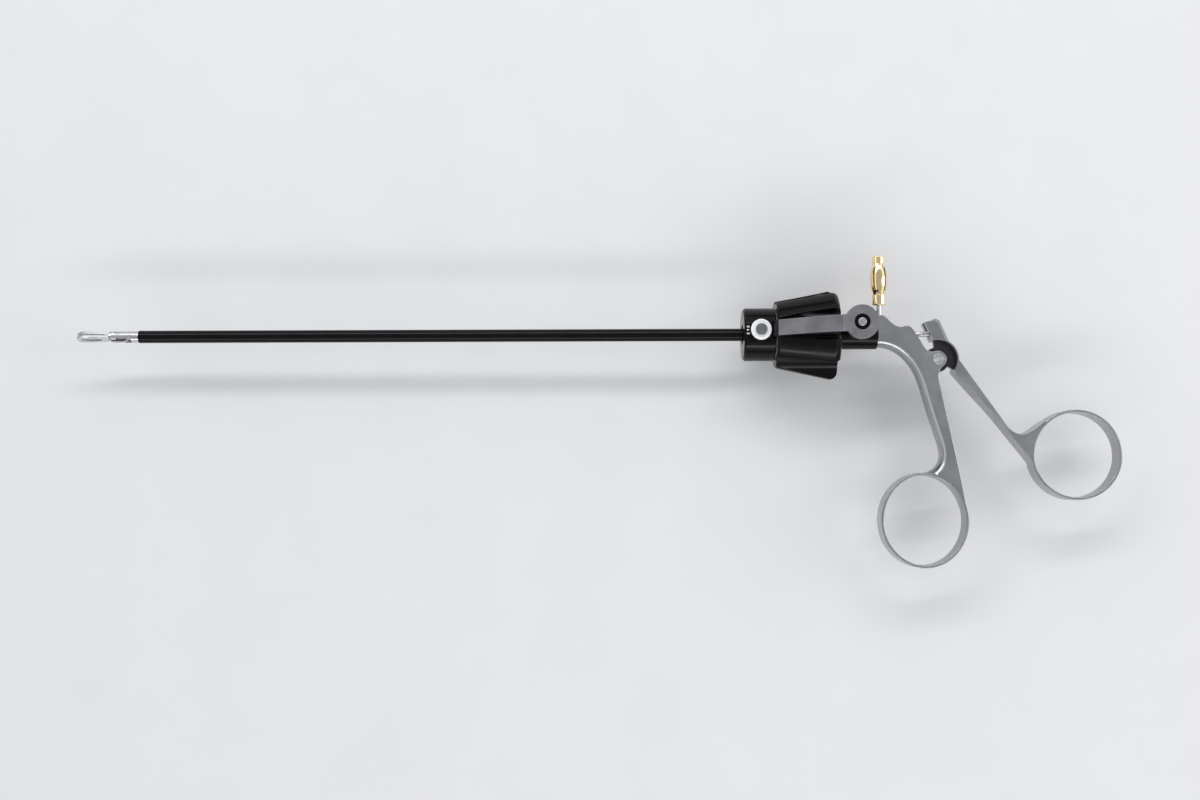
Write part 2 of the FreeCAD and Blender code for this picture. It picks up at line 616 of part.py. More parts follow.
def side_arm():
    """Grey bar from the collar over the knob's petals to the disc on the housing's post."""
    x0 = ARM_EYE[0]
    x1 = ARM_DISC[0]
    seat = ARM_SEAT
    top = ARM_THICKNESS
    step = x0 + BUTTON_RADIUS + 2.2
    bend = KNOB_END - ARM_BEND
    profile = [(x0 - 6, seat), (step - 1.6, seat), (step + 0.1, ARM_FRONT_LOW),
               (bend, ARM_LOW), (x1 + 8, ARM_LOW), (x1 + 8, ARM_LOW + ARM_DISC_THICKNESS),
               (x1 - ARM_DISC_RADIUS, ARM_LOW + ARM_DISC_THICKNESS),
               (x1 - ARM_DISC_RADIUS - 0.8, ARM_LOW + top), (bend - 0.3, ARM_LOW + top),
               (step - 0.4, ARM_FRONT_LOW + top), (step - 2.0, seat + top), (x0 - 6, seat + top)]
    corners = [V(x, -12, z) for x, z in profile]
    side = Part.Face(Part.makePolygon(corners + [corners[0]])).extrude(V(0, 24, 0))
    high = ARM_LOW + ARM_DISC_THICKNESS + 1
    eye = rod_z(ARM_EYE_RADIUS, 0, high, *ARM_EYE)
    disc = rod_z(ARM_DISC_RADIUS, 0, high, *ARM_DISC)
    front = ARM_HALF_WIDTH_FRONT
    rear = ARM_HALF_WIDTH_REAR
    bar_corners = [(x0, ARM_EYE[1] - front), (x1, ARM_DISC[1] - rear),
                   (x1, ARM_DISC[1] + rear), (x0, ARM_EYE[1] + front)]
    bar = slab([line(bar_corners[k], bar_corners[(k + 1) % 4]) for k in range(4)], 0, high)
    plan = eye.multiFuse([disc, bar])
    arm = side.common(plan)
    arm = arm.cut(rod_z(SCREW_RADIUS + SEAT_GAP, 0, high, *ARM_EYE))
    arm = arm.cut(rod_z(ARM_BUSH_RADIUS + SEAT_GAP, 0, high, *ARM_DISC))
    return clean(arm)


def arm_bush():
    """Insulating bush between the arm's disc and its pin."""
    low = ARM_LOW - 1.2
    high = ARM_LOW + ARM_DISC_THICKNESS - 0.5
    return rod_z(ARM_BUSH_RADIUS, low, high, *ARM_DISC).cut(
        rod_z(ARM_PIN_RADIUS + SEAT_GAP, low - 1, high + 1, *ARM_DISC))


def arm_pin():
    """Steel pin that holds the arm on the post."""
    low = post_pin_foot() + 0.3
    high = ARM_LOW + ARM_DISC_THICKNESS
    return rod_z(ARM_PIN_RADIUS, low, high, *ARM_DISC)


def button_washer():
    """Bright cup washer under the arm's screw."""
    low = ARM_SEAT + ARM_THICKNESS
    return rod_z(BUTTON_RADIUS, low, low + BUTTON_THICKNESS, *ARM_EYE).cut(
        rod_z(SCREW_RADIUS + SEAT_GAP, low - 1, low + 2, *ARM_EYE))


def arm_screw():
    """Cap screw with a hexagon socket."""
    low = ARM_SEAT + ARM_THICKNESS + BUTTON_THICKNESS
    head = rod_z(SCREW_HEAD_RADIUS, low, low + 0.9, *ARM_EYE)
    shank = rod_z(SCREW_RADIUS, COLLAR_MOUTH_RADIUS + 2.4, low, *ARM_EYE)
    socket = hexagon(1.2, low - 0.2, low + 2, *ARM_EYE)
    return clean(head.fuse(shank).cut(socket))


# Handle

def ring_ellipse(centre, half_width, half_height):
    """Upright elliptical column."""
    if half_width < half_height:
        curve = Part.Ellipse(V(0, 0, 0), half_height, half_width).toShape()
        curve.rotate(ORIGIN, AXIS_Z, 90)
    else:
        curve = Part.Ellipse(V(0, 0, 0), half_width, half_height).toShape()
    curve.translate(V(centre[0], centre[1], -HALF_HANDLE))
    return Part.Face(Part.Wire([curve])).extrude(V(0, 0, HANDLE_THICKNESS))


def finger_frame():
    """Fixed half of the handle: front socket, curved palm side, pivot cheeks and finger ring."""
    px = PIVOT_X
    py = -PIVOT_DROP
    front = HOUSING_END
    top = spots((front, 0), (px, py), [(0, -0.667), (0.088, -0.695), (0.18, -0.524),
            (0.28, -0.333), (0.381, -0.257), (0.49, -0.295), (0.569, -0.21), (0.64, 0.029),
            (0.724, 0.343), (0.799, 0.61), (0.891, 0.714)])
    boss_top = polar((px, py), PIVOT_BOSS_RADIUS, 90)
    boss_side = polar((px, py), PIVOT_BOSS_RADIUS, 10)
    boss_low = polar((px, py), PIVOT_BOSS_RADIUS, -55)
    side = (FINGER_RING[0] + FINGER_RING_HALF_WIDTH, FINGER_RING[1])
    crown = (FINGER_RING[0], FINGER_RING[1] + FINGER_RING_HALF_HEIGHT)
    right = [boss_low] + spots((px, py), side, [(0.063, 0.069), (0.018, 0.105), (0.063, 0.163),
            (0.163, 0.247), (0.371, 0.421), (0.552, 0.571), (0.733, 0.729), (0.86, 0.853),
            (0.977, 1)])
    inside = FINGER_RING
    ring_top = (crown[0], crown[1] - 0.1 * RING_WALL)
    palm = [ring_top] + spots((px, py), crown, [(0.551, 0.987), (0.189, 0.951), (-0.047, 0.898),
            (-0.126, 0.829), (0.016, 0.731), (0.283, 0.611), (0.646, 0.447), (0.913, 0.313),
            (1.165, 0.193), (1.465, 0.096), (1.843, 0.016), (2.346, -0.053)])
    palm += spots((front, 0), (px, py), [(0.213, 0.571), (0, 0.495)])
    outline = [smooth(top), line(top[-1], boss_top), arc(boss_top, boss_side, boss_low),
               smooth(right), line(right[-1], inside), line(inside, ring_top), smooth(palm),
               line(palm[-1], top[0])]
    plate = slab(outline, -HALF_HANDLE, HALF_HANDLE)
    middle = palm[7]
    chosen = []
    for edge in plate.Edges:
        box = edge.BoundBox
        if box.ZLength < 0.01 and box.XMin < middle[0] < box.XMax and box.YLength > 3 * PIVOT_DROP:
            on_palm = edge.distToShape(Part.Vertex(V(middle[0], middle[1], box.ZMin)))[0] < 0.01
            if on_palm:
                chosen.append(edge)
    plate = plate.makeFillet(PALM_ROUNDING, chosen)
    plate = plate.cut(ring_ellipse(FINGER_RING, FINGER_RING_HALF_WIDTH - RING_WALL,
                                   FINGER_RING_HALF_HEIGHT - RING_WALL))
    ring = ring_ellipse(FINGER_RING, FINGER_RING_HALF_WIDTH, FINGER_RING_HALF_HEIGHT)
    ring = ring.cut(ring_ellipse(FINGER_RING, FINGER_RING_HALF_WIDTH - RING_WALL,
                                 FINGER_RING_HALF_HEIGHT - RING_WALL))
    frame = plate.fuse(ring)
    half_slot = TONGUE_THICKNESS / 2 + FACE_GAP
    frame = frame.cut(rod_z(FRAME_SLOT_RADIUS, -half_slot, half_slot, px, py))
    frame = frame.cut(rod_z(PIVOT_SCREW_RADIUS + SEAT_GAP, -HANDLE_THICKNESS, HANDLE_THICKNESS,
                            px, py))
    frame = frame.cut(rod_x(SPIGOT_RADIUS + SEAT_GAP, front - 1,
                            front + HOUSING_SPIGOT + SPIGOT_END_GAP))
    frame = frame.cut(rod_x(ROD_RADIUS + ROD_CLEARANCE, front, PIVOT_X))
    frame = frame.cut(rod_y(STEM_RADIUS + SEAT_GAP, stem_foot(), 2 * FRAME_CREST, PLUG_X))
    return clean(frame)


def flat_edges(plate, sides):
    """Edges of a plate's two faces that run between the given pairs of outline points."""
    chosen = []
    for start, end in sides:
        for height in (-HALF_HANDLE, HALF_HANDLE):
            ends = [V(start[0], start[1], height), V(end[0], end[1], height)]
            for edge in plate.Edges:
                corners = [vertex.Point for vertex in edge.Vertexes]
                if len(corners) == 2 and all(
                        min(corner.distanceToPoint(e) for e in ends) < 0.01 for corner in corners):
                    chosen.append(edge)
    return chosen


def stem_foot():
    """Height at which the connector's stem ends inside the frame."""
    return FRAME_CREST - STEM_DEPTH


def thumb_lever():
    """Moving half of the handle: ball block, tongue between the cheeks, shank and thumb ring."""
    px = PIVOT_X
    py = -PIVOT_DROP
    pivot = (px, py)
    outer = LEVER_ARC_RADIUS + LEVER_RIM
    ball = (px, py + LEVER_ARM)
    block_left_top, block_top, block_right_top = around(
        ball, BALL_RADIUS, [(3.29, 136.8), (2.93, 93.9), (2.56, 77.6)])
    block_right = polar(pivot, outer, 56)
    rim_middle = polar(pivot, outer, 27)
    rim_end = polar(pivot, outer, -2)
    block_foot = polar(pivot, LEVER_ARC_RADIUS, 103)
    arc_middle = polar(pivot, LEVER_ARC_RADIUS, 35)
    arc_end = polar(pivot, LEVER_ARC_RADIUS, -32)
    right = [rim_end] + spots(pivot, THUMB_RING, [(0.212, 0.126), (0.302, 0.306), (0.374, 0.45),
            (0.446, 0.594), (0.508, 0.717), (0.549, 0.764)])
    right += around(THUMB_RING, THUMB_RING_RADIUS, [(1.286, 158.7), (1.149, 152.6),
            (1.064, 142.2), (1.026, 131.9)])
    inside = THUMB_RING
    left = spots(pivot, THUMB_RING, [(0.123, 0.136), (0.271, 0.377), (0.374, 0.542),
            (0.495, 0.754)])
    left += around(THUMB_RING, THUMB_RING_RADIUS, [(1.291, 171.1), (0.984, 191.8),
            (0.942, 219.2)])
    outline = [line(block_foot, block_left_top), line(block_left_top, block_top),
               line(block_top, block_right_top), line(block_right_top, block_right),
               arc(block_right, rim_middle, rim_end), smooth(right), line(right[-1], inside),
               line(inside, left[-1]), smooth(left), line(left[0], arc_end),
               arc(arc_end, arc_middle, block_foot)]
    plate = slab(outline, -HALF_HANDLE, HALF_HANDLE)
    sides = [(block_top, block_right_top), (block_right_top, block_right)]
    plate = plate.makeChamfer(BLOCK_CHAMFER, flat_edges(plate, sides))
    hole = rod_z(THUMB_RING_RADIUS - RING_WALL, -HANDLE_THICKNESS, HANDLE_THICKNESS, *THUMB_RING)
    ring = rod_z(THUMB_RING_RADIUS, -HALF_HANDLE, HALF_HANDLE, *THUMB_RING)
    lever = plate.fuse(ring).cut(hole)
    tongue = rod_z(TONGUE_RADIUS, -TONGUE_THICKNESS / 2, TONGUE_THICKNESS / 2, px, py)
    web_corner = polar(pivot, outer - 0.1, 98)
    web_corner_low = polar(pivot, outer - 0.1, -30)
    web = slab([line(pivot, web_corner), arc(web_corner, polar(pivot, outer - 0.1, 34), web_corner_low),
                line(web_corner_low, pivot)], -WEB_THICKNESS / 2, WEB_THICKNESS / 2)
    lever = lever.multiFuse([tongue, web])
    lever = lever.cut(rod_z(PIVOT_SCREW_RADIUS + RUN_GAP, -HANDLE_THICKNESS, HANDLE_THICKNESS,
                            px, py))
    socket_radius = BALL_RADIUS + SOCKET_GAP
    socket = rod_y(socket_radius, py + LEVER_ARM - socket_radius, py + LEVER_ARM + 10, px)
    slot = block(px - 9, px, -ROD_RADIUS - 0.35, 10, -ROD_SLOT / 2, ROD_SLOT / 2)
    return clean(lever.cut(socket).cut(slot))


def pivot_screw():
    """Slotted shoulder screw from the near side."""
    top = HALF_HANDLE + PIVOT_HEAD_HEIGHT
    head = rod_z(PIVOT_HEAD_RADIUS, HALF_HANDLE, top, PIVOT_X, -PIVOT_DROP)
    shank = rod_z(PIVOT_SCREW_RADIUS, -HALF_HANDLE - PIVOT_HEAD_HEIGHT, HALF_HANDLE,
                  PIVOT_X, -PIVOT_DROP)
    slot = block(PIVOT_X - 4, PIVOT_X + 4, -PIVOT_DROP - 0.3, -PIVOT_DROP + 0.3, top - 0.4, top + 1)
    slot.rotate(PIVOT, AXIS_Z, 20)
    return clean(head.fuse(shank).cut(slot))


def pivot_nut():
    """Round nut on the far side."""
    low = -HALF_HANDLE - PIVOT_HEAD_HEIGHT
    nut = rod_z(PIVOT_HEAD_RADIUS, low, -HALF_HANDLE, PIVOT_X, -PIVOT_DROP)
    return nut.cut(rod_z(PIVOT_SCREW_RADIUS + SEAT_GAP, low - 1, 0, PIVOT_X, -PIVOT_DROP))


# Connector pin

def contact_stem():
    return rod_y(STEM_RADIUS, stem_foot(), PLUG_FOOT + 3, PLUG_X)


def contact_plug():
    """Turned plug: base collar, thin core under the springs and top collar."""
    foot = PLUG_FOOT
    top = foot + PLUG_LENGTH
    base_top = foot + PLUG_BASE_LENGTH
    top_low = top - PLUG_TOP_LENGTH
    plug = turned([(foot, 0), (foot, PLUG_BASE_RADIUS - 0.3), (foot + 0.3, PLUG_BASE_RADIUS),
                   (base_top, PLUG_BASE_RADIUS), (base_top, PLUG_CORE_RADIUS),
                   (top_low, PLUG_CORE_RADIUS), (top_low, PLUG_TOP_RADIUS),
                   (top - 0.4, PLUG_TOP_RADIUS), (top, PLUG_TOP_RADIUS - 0.4), (top, 0)],
                  V(PLUG_X, 0, 0), AXIS_Y)
    return clean(plug.cut(rod_y(STEM_RADIUS + SEAT_GAP, 0, foot + 3, PLUG_X)))


def contact_cage():
    """Bulged sleeve of spring leaves joined by a band at each end."""
    low = PLUG_FOOT + PLUG_BASE_LENGTH + SEAT_GAP
    high = PLUG_FOOT + PLUG_LENGTH - PLUG_TOP_LENGTH - SEAT_GAP
    middle = (low + high) / 2
    bore = PLUG_CORE_RADIUS + SEAT_GAP
    end_radius = CAGE_END_RADIUS
    inner_belly = CAGE_RADIUS - CAGE_WALL
    outer = [(end_radius, low), (end_radius, low + 0.8), (CAGE_RADIUS, middle),
             (end_radius, high - 0.8), (end_radius, high)]
    inner = [(bore, high), (bore, high - 0.8), (inner_belly, middle), (bore, low + 0.8), (bore, low)]
    edges = [line(outer[0], outer[1]), smooth([outer[1], (0.5 * (end_radius + CAGE_RADIUS) + 0.25,
             0.5 * (low + middle)), outer[2], (0.5 * (end_radius + CAGE_RADIUS) + 0.25,
             0.5 * (high + middle)), outer[3]]), line(outer[3], outer[4]), line(outer[4], inner[0]),
             line(inner[0], inner[1]),
             smooth([inner[1], (0.5 * (bore + inner_belly) + 0.3, 0.5 * (high + middle)), inner[2],
                     (0.5 * (bore + inner_belly) + 0.3, 0.5 * (low + middle)), inner[3]]),
             line(inner[3], inner[4]), line(inner[4], outer[0])]
    cage = Part.Face(Part.Wire(edges)).revolve(ORIGIN, AXIS_Y, 360)
    for leaf in range(CAGE_LEAVES // 2):
        slit = block(-CAGE_SLIT / 2, CAGE_SLIT / 2, low + 1.6, high - 1.6, -5, 5)
        slit.rotate(ORIGIN, AXIS_Y, 45 + leaf * 360.0 / CAGE_LEAVES)
        cage = cage.cut(slit)
    cage.translate(V(PLUG_X, 0, 0))
    return clean(cage)


NODES = {
    "upper_jaw": lambda: at_jaw_pivot(upper_jaw()),
    "lower_jaw": lambda: at_jaw_pivot(lower_jaw()),
    "clevis": clevis,
    "jaw_pivot_pin": jaw_pin,
    "push_rod": push_rod,
    "drive_pin": drive_pin,
    "rod_ball": rod_ball,
    "shaft_tube": shaft_tube,
    "insulation_sleeve": insulation_sleeve,
    "retaining_clip": retaining_clip,
    "rotation_knob": rotation_knob,
    "knob_hub": knob_hub,
    "knob_set_screw": knob_set_screw,
    "front_collar": front_collar,
    "nose_bush": nose_bush,
    "thrust_washer": thrust_washer,
    "insulating_housing": insulating_housing,
    "rod_seal": rod_seal,
    "seal_gland": seal_gland,
    "side_arm": side_arm,
    "arm_bush": arm_bush,
    "arm_pin": arm_pin,
    "arm_screw": arm_screw,
    "button_washer": button_washer,
    "finger_frame": finger_frame,
    "thumb_lever": thumb_lever,
    "pivot_screw": pivot_screw,
    "pivot_nut": pivot_nut,
    "contact_stem": contact_stem,
    "contact_plug": contact_plug,
    "contact_cage": contact_cage,
}


def main():
    os.makedirs("parts", exist_ok=True)
    for name, make in NODES.items():
        shape = make()
        shape.exportStep("parts/" + name + ".step")
        box = shape.BoundBox
        print(name, len(shape.Solids), shape.isValid(), round(shape.Volume, 2),
              [round(v, 2) for v in (box.XMin, box.XMax, box.YMin, box.YMax, box.ZMin, box.ZMax)])


main()
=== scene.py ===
"""Studio scene of a laparoscopic grasper: finishes, fine edges and the camera of the side view.

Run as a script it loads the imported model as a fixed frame, dresses it and sets the stage. It is laid
out as an add-on: sizes and colours are properties, and each piece or group has its own operator.
"""
import math

import bmesh
import bpy
from bpy.props import FloatProperty, FloatVectorProperty, IntProperty, PointerProperty
from mathutils import Euler, Matrix, Vector


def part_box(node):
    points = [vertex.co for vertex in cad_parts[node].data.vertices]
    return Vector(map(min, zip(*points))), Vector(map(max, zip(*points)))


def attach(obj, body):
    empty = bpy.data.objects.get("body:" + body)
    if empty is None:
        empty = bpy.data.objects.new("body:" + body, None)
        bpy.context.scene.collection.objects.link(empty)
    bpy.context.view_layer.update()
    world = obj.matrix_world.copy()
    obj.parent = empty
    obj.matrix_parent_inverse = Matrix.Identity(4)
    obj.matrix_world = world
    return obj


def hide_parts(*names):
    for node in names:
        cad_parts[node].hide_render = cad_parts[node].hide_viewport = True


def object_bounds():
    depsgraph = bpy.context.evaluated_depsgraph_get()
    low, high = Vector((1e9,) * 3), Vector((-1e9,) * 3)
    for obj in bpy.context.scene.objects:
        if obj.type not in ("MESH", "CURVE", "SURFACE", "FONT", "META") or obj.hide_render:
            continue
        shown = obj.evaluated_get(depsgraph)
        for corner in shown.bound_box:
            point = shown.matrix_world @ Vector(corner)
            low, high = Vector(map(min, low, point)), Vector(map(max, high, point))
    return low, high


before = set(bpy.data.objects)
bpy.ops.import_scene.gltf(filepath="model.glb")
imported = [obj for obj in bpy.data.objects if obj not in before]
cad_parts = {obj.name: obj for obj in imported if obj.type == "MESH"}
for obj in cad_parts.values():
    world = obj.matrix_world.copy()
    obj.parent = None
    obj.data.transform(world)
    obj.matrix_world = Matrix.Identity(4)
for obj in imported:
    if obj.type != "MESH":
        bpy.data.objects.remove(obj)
CAD_LOW, CAD_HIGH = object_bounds()

bl_info = {
    "name": "Laparoscopic Grasper",
    "version": (1, 0, 0),
    "blender": (4, 5, 0),
    "location": "View3D > Sidebar > Grasper",
    "description": "Finishes, fine edges and stage for the packed grasper",
    "category": "Object",
}

MM = 0.001
IMAGE_WIDTH = 1200
IMAGE_HEIGHT = 800
ON_LEVEL = 0.005 * MM
WELD = 0.001 * MM
FLAT_ANGLE = math.radians(0.5)
EDGE_ANGLE = math.radians(32.0)
SMOOTH_ANGLE = math.radians(42.0)
EDGE_SEGMENTS = 2
RIM_SEGMENTS = 3
WALL_SLOPE, FLAT_SLOPE = 0.3, 0.99
FLAT_WEIGHT = 80
NOISE_LOW, NOISE_HIGH = 0.35, 0.65
KNOB_COLUMNS = 48
FLARE_ROWS = 46
LIP_ROWS = 9
CUP_STEPS = 4
SLEEVE_SIDES = 64
SLEEVE_ROWS = 60
MARK_OFFSETS = (2.1 * MM, 0.8 * MM, -0.6 * MM)
MARK_ROWS = 4
MARK_COLUMNS = 3
FLOOR_HALF = 3.0
FLOOR_GAP = 0.5 * MM
SCOOP_SHARE, CREST_SHARE, PETAL_SHARE = 12 / 24, 4 / 24, 8 / 24
STUDIO_CENTRE = Vector((-0.06, -0.03, 0.0))
# Name, place from the centre, size and share of the lamp power
LAMPS = (("key_lamp", (-0.10, 0.72, 0.72), (1.5, 0.10), 1.0),
         ("fill_lamp", (0.10, -0.80, 0.50), (1.4, 0.12), 0.6),
         ("side_lamp", (0.95, 0.10, 0.45), (0.25, 0.9), 0.4))
# Brightness of the surroundings by height, from the horizon to straight up
SKY_STOPS = ((0.0, 0.30), (0.10, 0.30), (0.22, 1.7), (0.36, 2.2), (0.60, 1.9), (0.82, 0.80),
             (1.0, 0.85))
SEEN_SKY = 1.5
FINISHES = {}


# Properties

class GrasperFinish(bpy.types.PropertyGroup):
    """Colours and edge rounding of the grasper's materials."""

    satin: FloatVectorProperty(
        name="Satin steel", description="Flat faces of the ring handle", subtype="COLOR",
        default=(0.40, 0.405, 0.42), min=0.0, max=1.0)
    polished: FloatVectorProperty(
        name="Polished steel", description="Jaws, clevis and washer", subtype="COLOR",
        default=(0.66, 0.66, 0.675), min=0.0, max=1.0)
    black: FloatVectorProperty(
        name="Black polymer", description="Knob, collar and housing", subtype="COLOR",
        default=(0.003, 0.003, 0.0035), min=0.0, max=1.0)
    grey: FloatVectorProperty(
        name="Grey arm", description="Side arm and its disc", subtype="COLOR",
        default=(0.200, 0.200, 0.212), min=0.0, max=1.0)
    gold: FloatVectorProperty(
        name="Gold plate", description="Connector plug", subtype="COLOR",
        default=(0.98, 0.79, 0.46), min=0.0, max=1.0)
    # This white also colours the collar's strips, which are painted glints.
    white: FloatVectorProperty(
        name="White polymer", description="Bearings and index marks", subtype="COLOR",
        default=(0.82, 0.81, 0.78), min=0.0, max=1.0)
    edge: FloatProperty(
        name="Edge rounding", description="Radius on the handle's edges", subtype="DISTANCE",
        default=0.35 * MM, min=0.0, max=2 * MM)
    fine_edge: FloatProperty(
        name="Fine edge", description="Radius on the small pieces' edges", subtype="DISTANCE",
        default=0.12 * MM, min=0.0, max=1 * MM)
    rod_edge: FloatProperty(
        name="Rod edge", description="Radius on the edges of the push rod and its ball",
        subtype="DISTANCE", default=0.05 * MM, min=0.0, max=1 * MM)
    recess_radius: FloatProperty(
        name="Recess radius", description="Reach of the milled recess round the lever's pivot",
        subtype="DISTANCE", default=9.0 * MM)
    recess_depth: FloatProperty(
        name="Recess floor", description="Height under which the recess's floor lies",
        subtype="DISTANCE", default=2.1 * MM)
    lathe_reach: FloatProperty(
        name="Lathe reach", description="Radius of the turned rings on the arm's disc",
        subtype="DISTANCE", default=6.9 * MM)
    lathe_pitch: FloatProperty(
        name="Lathe pitch", description="Distance between the turned rings",
        subtype="DISTANCE", default=0.28 * MM)


class GrasperMarks(bpy.types.PropertyGroup):
    """White strips on the front collar, painted in place of glints."""

    front: FloatProperty(
        name="Front end", description="From the collar's front face to the marks",
        subtype="DISTANCE", default=0.85 * MM)
    length: FloatProperty(
        name="Length", description="Length of each mark along the shaft", subtype="DISTANCE",
        default=2.1 * MM)
    half_width: FloatProperty(
        name="Half width", description="From a mark's middle to its edge", subtype="DISTANCE",
        default=0.28 * MM)
    lift: FloatProperty(
        name="Lift", description="Height of the paint", subtype="DISTANCE", default=0.03 * MM)
    thickness: FloatProperty(
        name="Thickness", description="Thickness of the paint", subtype="DISTANCE",
        default=0.05 * MM)


class GrasperKnob(bpy.types.PropertyGroup):
    """Shape of the petalled rotation knob."""

    petals: IntProperty(name="Petals", description="Number of petals", default=5, min=3, max=9)
    front_radius: FloatProperty(
        name="Front radius", description="Radius behind the collar", subtype="DISTANCE",
        default=13.6 * MM)
    rear_radius: FloatProperty(
        name="Rear radius", description="Radius over the petals' rear ends", subtype="DISTANCE",
        default=18.2 * MM)
    scoop_radius: FloatProperty(
        name="Scoop radius", description="Radius of the hollow between petals",
        subtype="DISTANCE", default=6.5 * MM)
    scoop_floor: FloatProperty(
        name="Scoop floor", description="Least radius of the knob in a hollow",
        subtype="DISTANCE", default=12.1 * MM)
    turn: FloatProperty(
        name="Turn", description="Angle of the near hollow from straight up", subtype="ANGLE",
        default=math.radians(8.0))
    lip: FloatProperty(
        name="Lip", description="Rounding of the rear ends", subtype="DISTANCE",
        default=2.8 * MM)
    crest: FloatProperty(
        name="Crest rounding", description="Softness of the edges between hollow and petal",
        subtype="DISTANCE", default=0.45 * MM)
    front_edge: FloatProperty(
        name="Edge", description="Rounding of the front rim and of the cup", subtype="DISTANCE",
        default=0.5 * MM)
    front_gap: FloatProperty(
        name="Front gap", description="From the thrust washer to the petals' front",
        subtype="DISTANCE", default=0.05 * MM)
    journal_radius: FloatProperty(
        name="Journal radius", description="Radius of the part that turns in the collar",
        subtype="DISTANCE", default=6.0 * MM)
    cup_radius: FloatProperty(
        name="Cup radius", description="Radius of the hollow in the rear face",
        subtype="DISTANCE", default=9.0 * MM)
    cup_depth: FloatProperty(
        name="Cup depth", description="Depth of the hollow in the rear face",
        subtype="DISTANCE", default=9.0 * MM)
    hub_radius: FloatProperty(
        name="Hub bore", description="Radius of the bore round the hub", subtype="DISTANCE",
        default=3.7 * MM)


class GrasperStage(bpy.types.PropertyGroup):
    """Camera, lamps and floor."""

    distance: FloatProperty(
        name="Camera distance", description="Lens to the shaft's plane", subtype="DISTANCE",
        default=0.6)
    pixel: FloatProperty(
        name="Pixel", description="Width of one picture pixel in the shaft's plane",
        subtype="DISTANCE", default=0.4 * MM)
    tilt: FloatProperty(
        name="Tilt", description="How far the camera stands towards the finger rings",
        subtype="ANGLE", default=math.radians(4.0))
    roll: FloatProperty(
        name="Roll", description="How far the shaft rises to the right in the picture",
        subtype="ANGLE", default=math.radians(0.2))
    origin_column: FloatProperty(
        name="Origin column", description="Picture column of the collar's front face",
        default=742.7)
    origin_row: FloatProperty(
        name="Origin row", description="Picture row of the shaft's axis there", default=334.5)
    floor: FloatVectorProperty(
        name="Floor", description="Colour of the floor", subtype="COLOR",
        default=(0.66, 0.66, 0.67), min=0.0, max=1.0)
    lamp: FloatProperty(name="Lamp power", description="Watts of the main lamp", default=5.0)
    sky: FloatProperty(name="Sky", description="Strength of the surrounding light", default=0.55)


def settings():
    return bpy.context.scene.grasper_finish


# Materials

def shader(name, colour, metallic, roughness):
    """New material with a Principled shader; returns material, node tree and shader."""
    material = bpy.data.materials.new(name)
    material.use_nodes = True
    tree = material.node_tree
    surface = tree.nodes["Principled BSDF"]
    surface.inputs["Base Color"].default_value = (*colour, 1.0)
    surface.inputs["Metallic"].default_value = metallic
    surface.inputs["Roughness"].default_value = roughness
    return material, tree, surface


def object_coordinates(tree, scale=(1.0, 1.0, 1.0), location=(0.0, 0.0, 0.0)):
    """Object coordinates through a Mapping node."""
    source = tree.nodes.new("ShaderNodeTexCoord")
    mapping = tree.nodes.new("ShaderNodeMapping")
    mapping.inputs["Location"].default_value = location
    mapping.inputs["Scale"].default_value = scale
    tree.links.new(source.outputs["Object"], mapping.inputs["Vector"])
    return mapping.outputs["Vector"]


def noise(tree, vector, scale, detail=3.0):
    node = tree.nodes.new("ShaderNodeTexNoise")
    node.inputs["Scale"].default_value = scale
    node.inputs["Detail"].default_value = detail
    tree.links.new(vector, node.inputs["Vector"])
    return node.outputs["Fac"]


def spread(tree, value, low, high, start=NOISE_LOW, end=NOISE_HIGH):
    """Maps a texture value onto a range."""
    node = tree.nodes.new("ShaderNodeMapRange")
    node.inputs["From Min"].default_value = start
    node.inputs["From Max"].default_value = end
    node.inputs["To Min"].default_value = low
    node.inputs["To Max"].default_value = high
    tree.links.new(value, node.inputs["Value"])
    return node.outputs["Result"]


def tint(tree, value, dark, light):
    """Colour ramp between two colours, over the same part of a texture as spread."""
    node = tree.nodes.new("ShaderNodeValToRGB")
    node.color_ramp.elements[0].position = NOISE_LOW
    node.color_ramp.elements[0].color = (*dark, 1.0)
    node.color_ramp.elements[1].position = NOISE_HIGH
    node.color_ramp.elements[1].color = (*light, 1.0)
    tree.links.new(value, node.inputs["Fac"])
    return node.outputs["Color"]


def bump(tree, surface, height, strength, distance):
    node = tree.nodes.new("ShaderNodeBump")
    node.inputs["Strength"].default_value = strength
    node.inputs["Distance"].default_value = distance
    tree.links.new(height, node.inputs["Height"])
    tree.links.new(node.outputs["Normal"], surface.inputs["Normal"])


def shaded(colour, factor):
    return tuple(min(1.0, c * factor) for c in colour)


def cool(level):
    """Slightly blue white of a given strength."""
    return (level * 0.98, level, level * 1.02, 1.0)


def metal(name, colour, low, high, grain, strength, stretch=(1.0, 1.0, 1.0)):
    """Steel or gold: clouded roughness, a slight change of tone and a fine grain."""
    material, tree, surface = shader(name, colour, 1.0, low)
    place = object_coordinates(tree)
    clouds = noise(tree, place, 90.0, 4.0)
    tree.links.new(spread(tree, clouds, low, high), surface.inputs["Roughness"])
    tree.links.new(tint(tree, clouds, shaded(colour, 0.93), shaded(colour, 1.04)),
                   surface.inputs["Base Color"])
    fine = noise(tree, object_coordinates(tree, stretch), grain, 2.0)
    bump(tree, surface, fine, strength, 0.02 * MM)
    return material


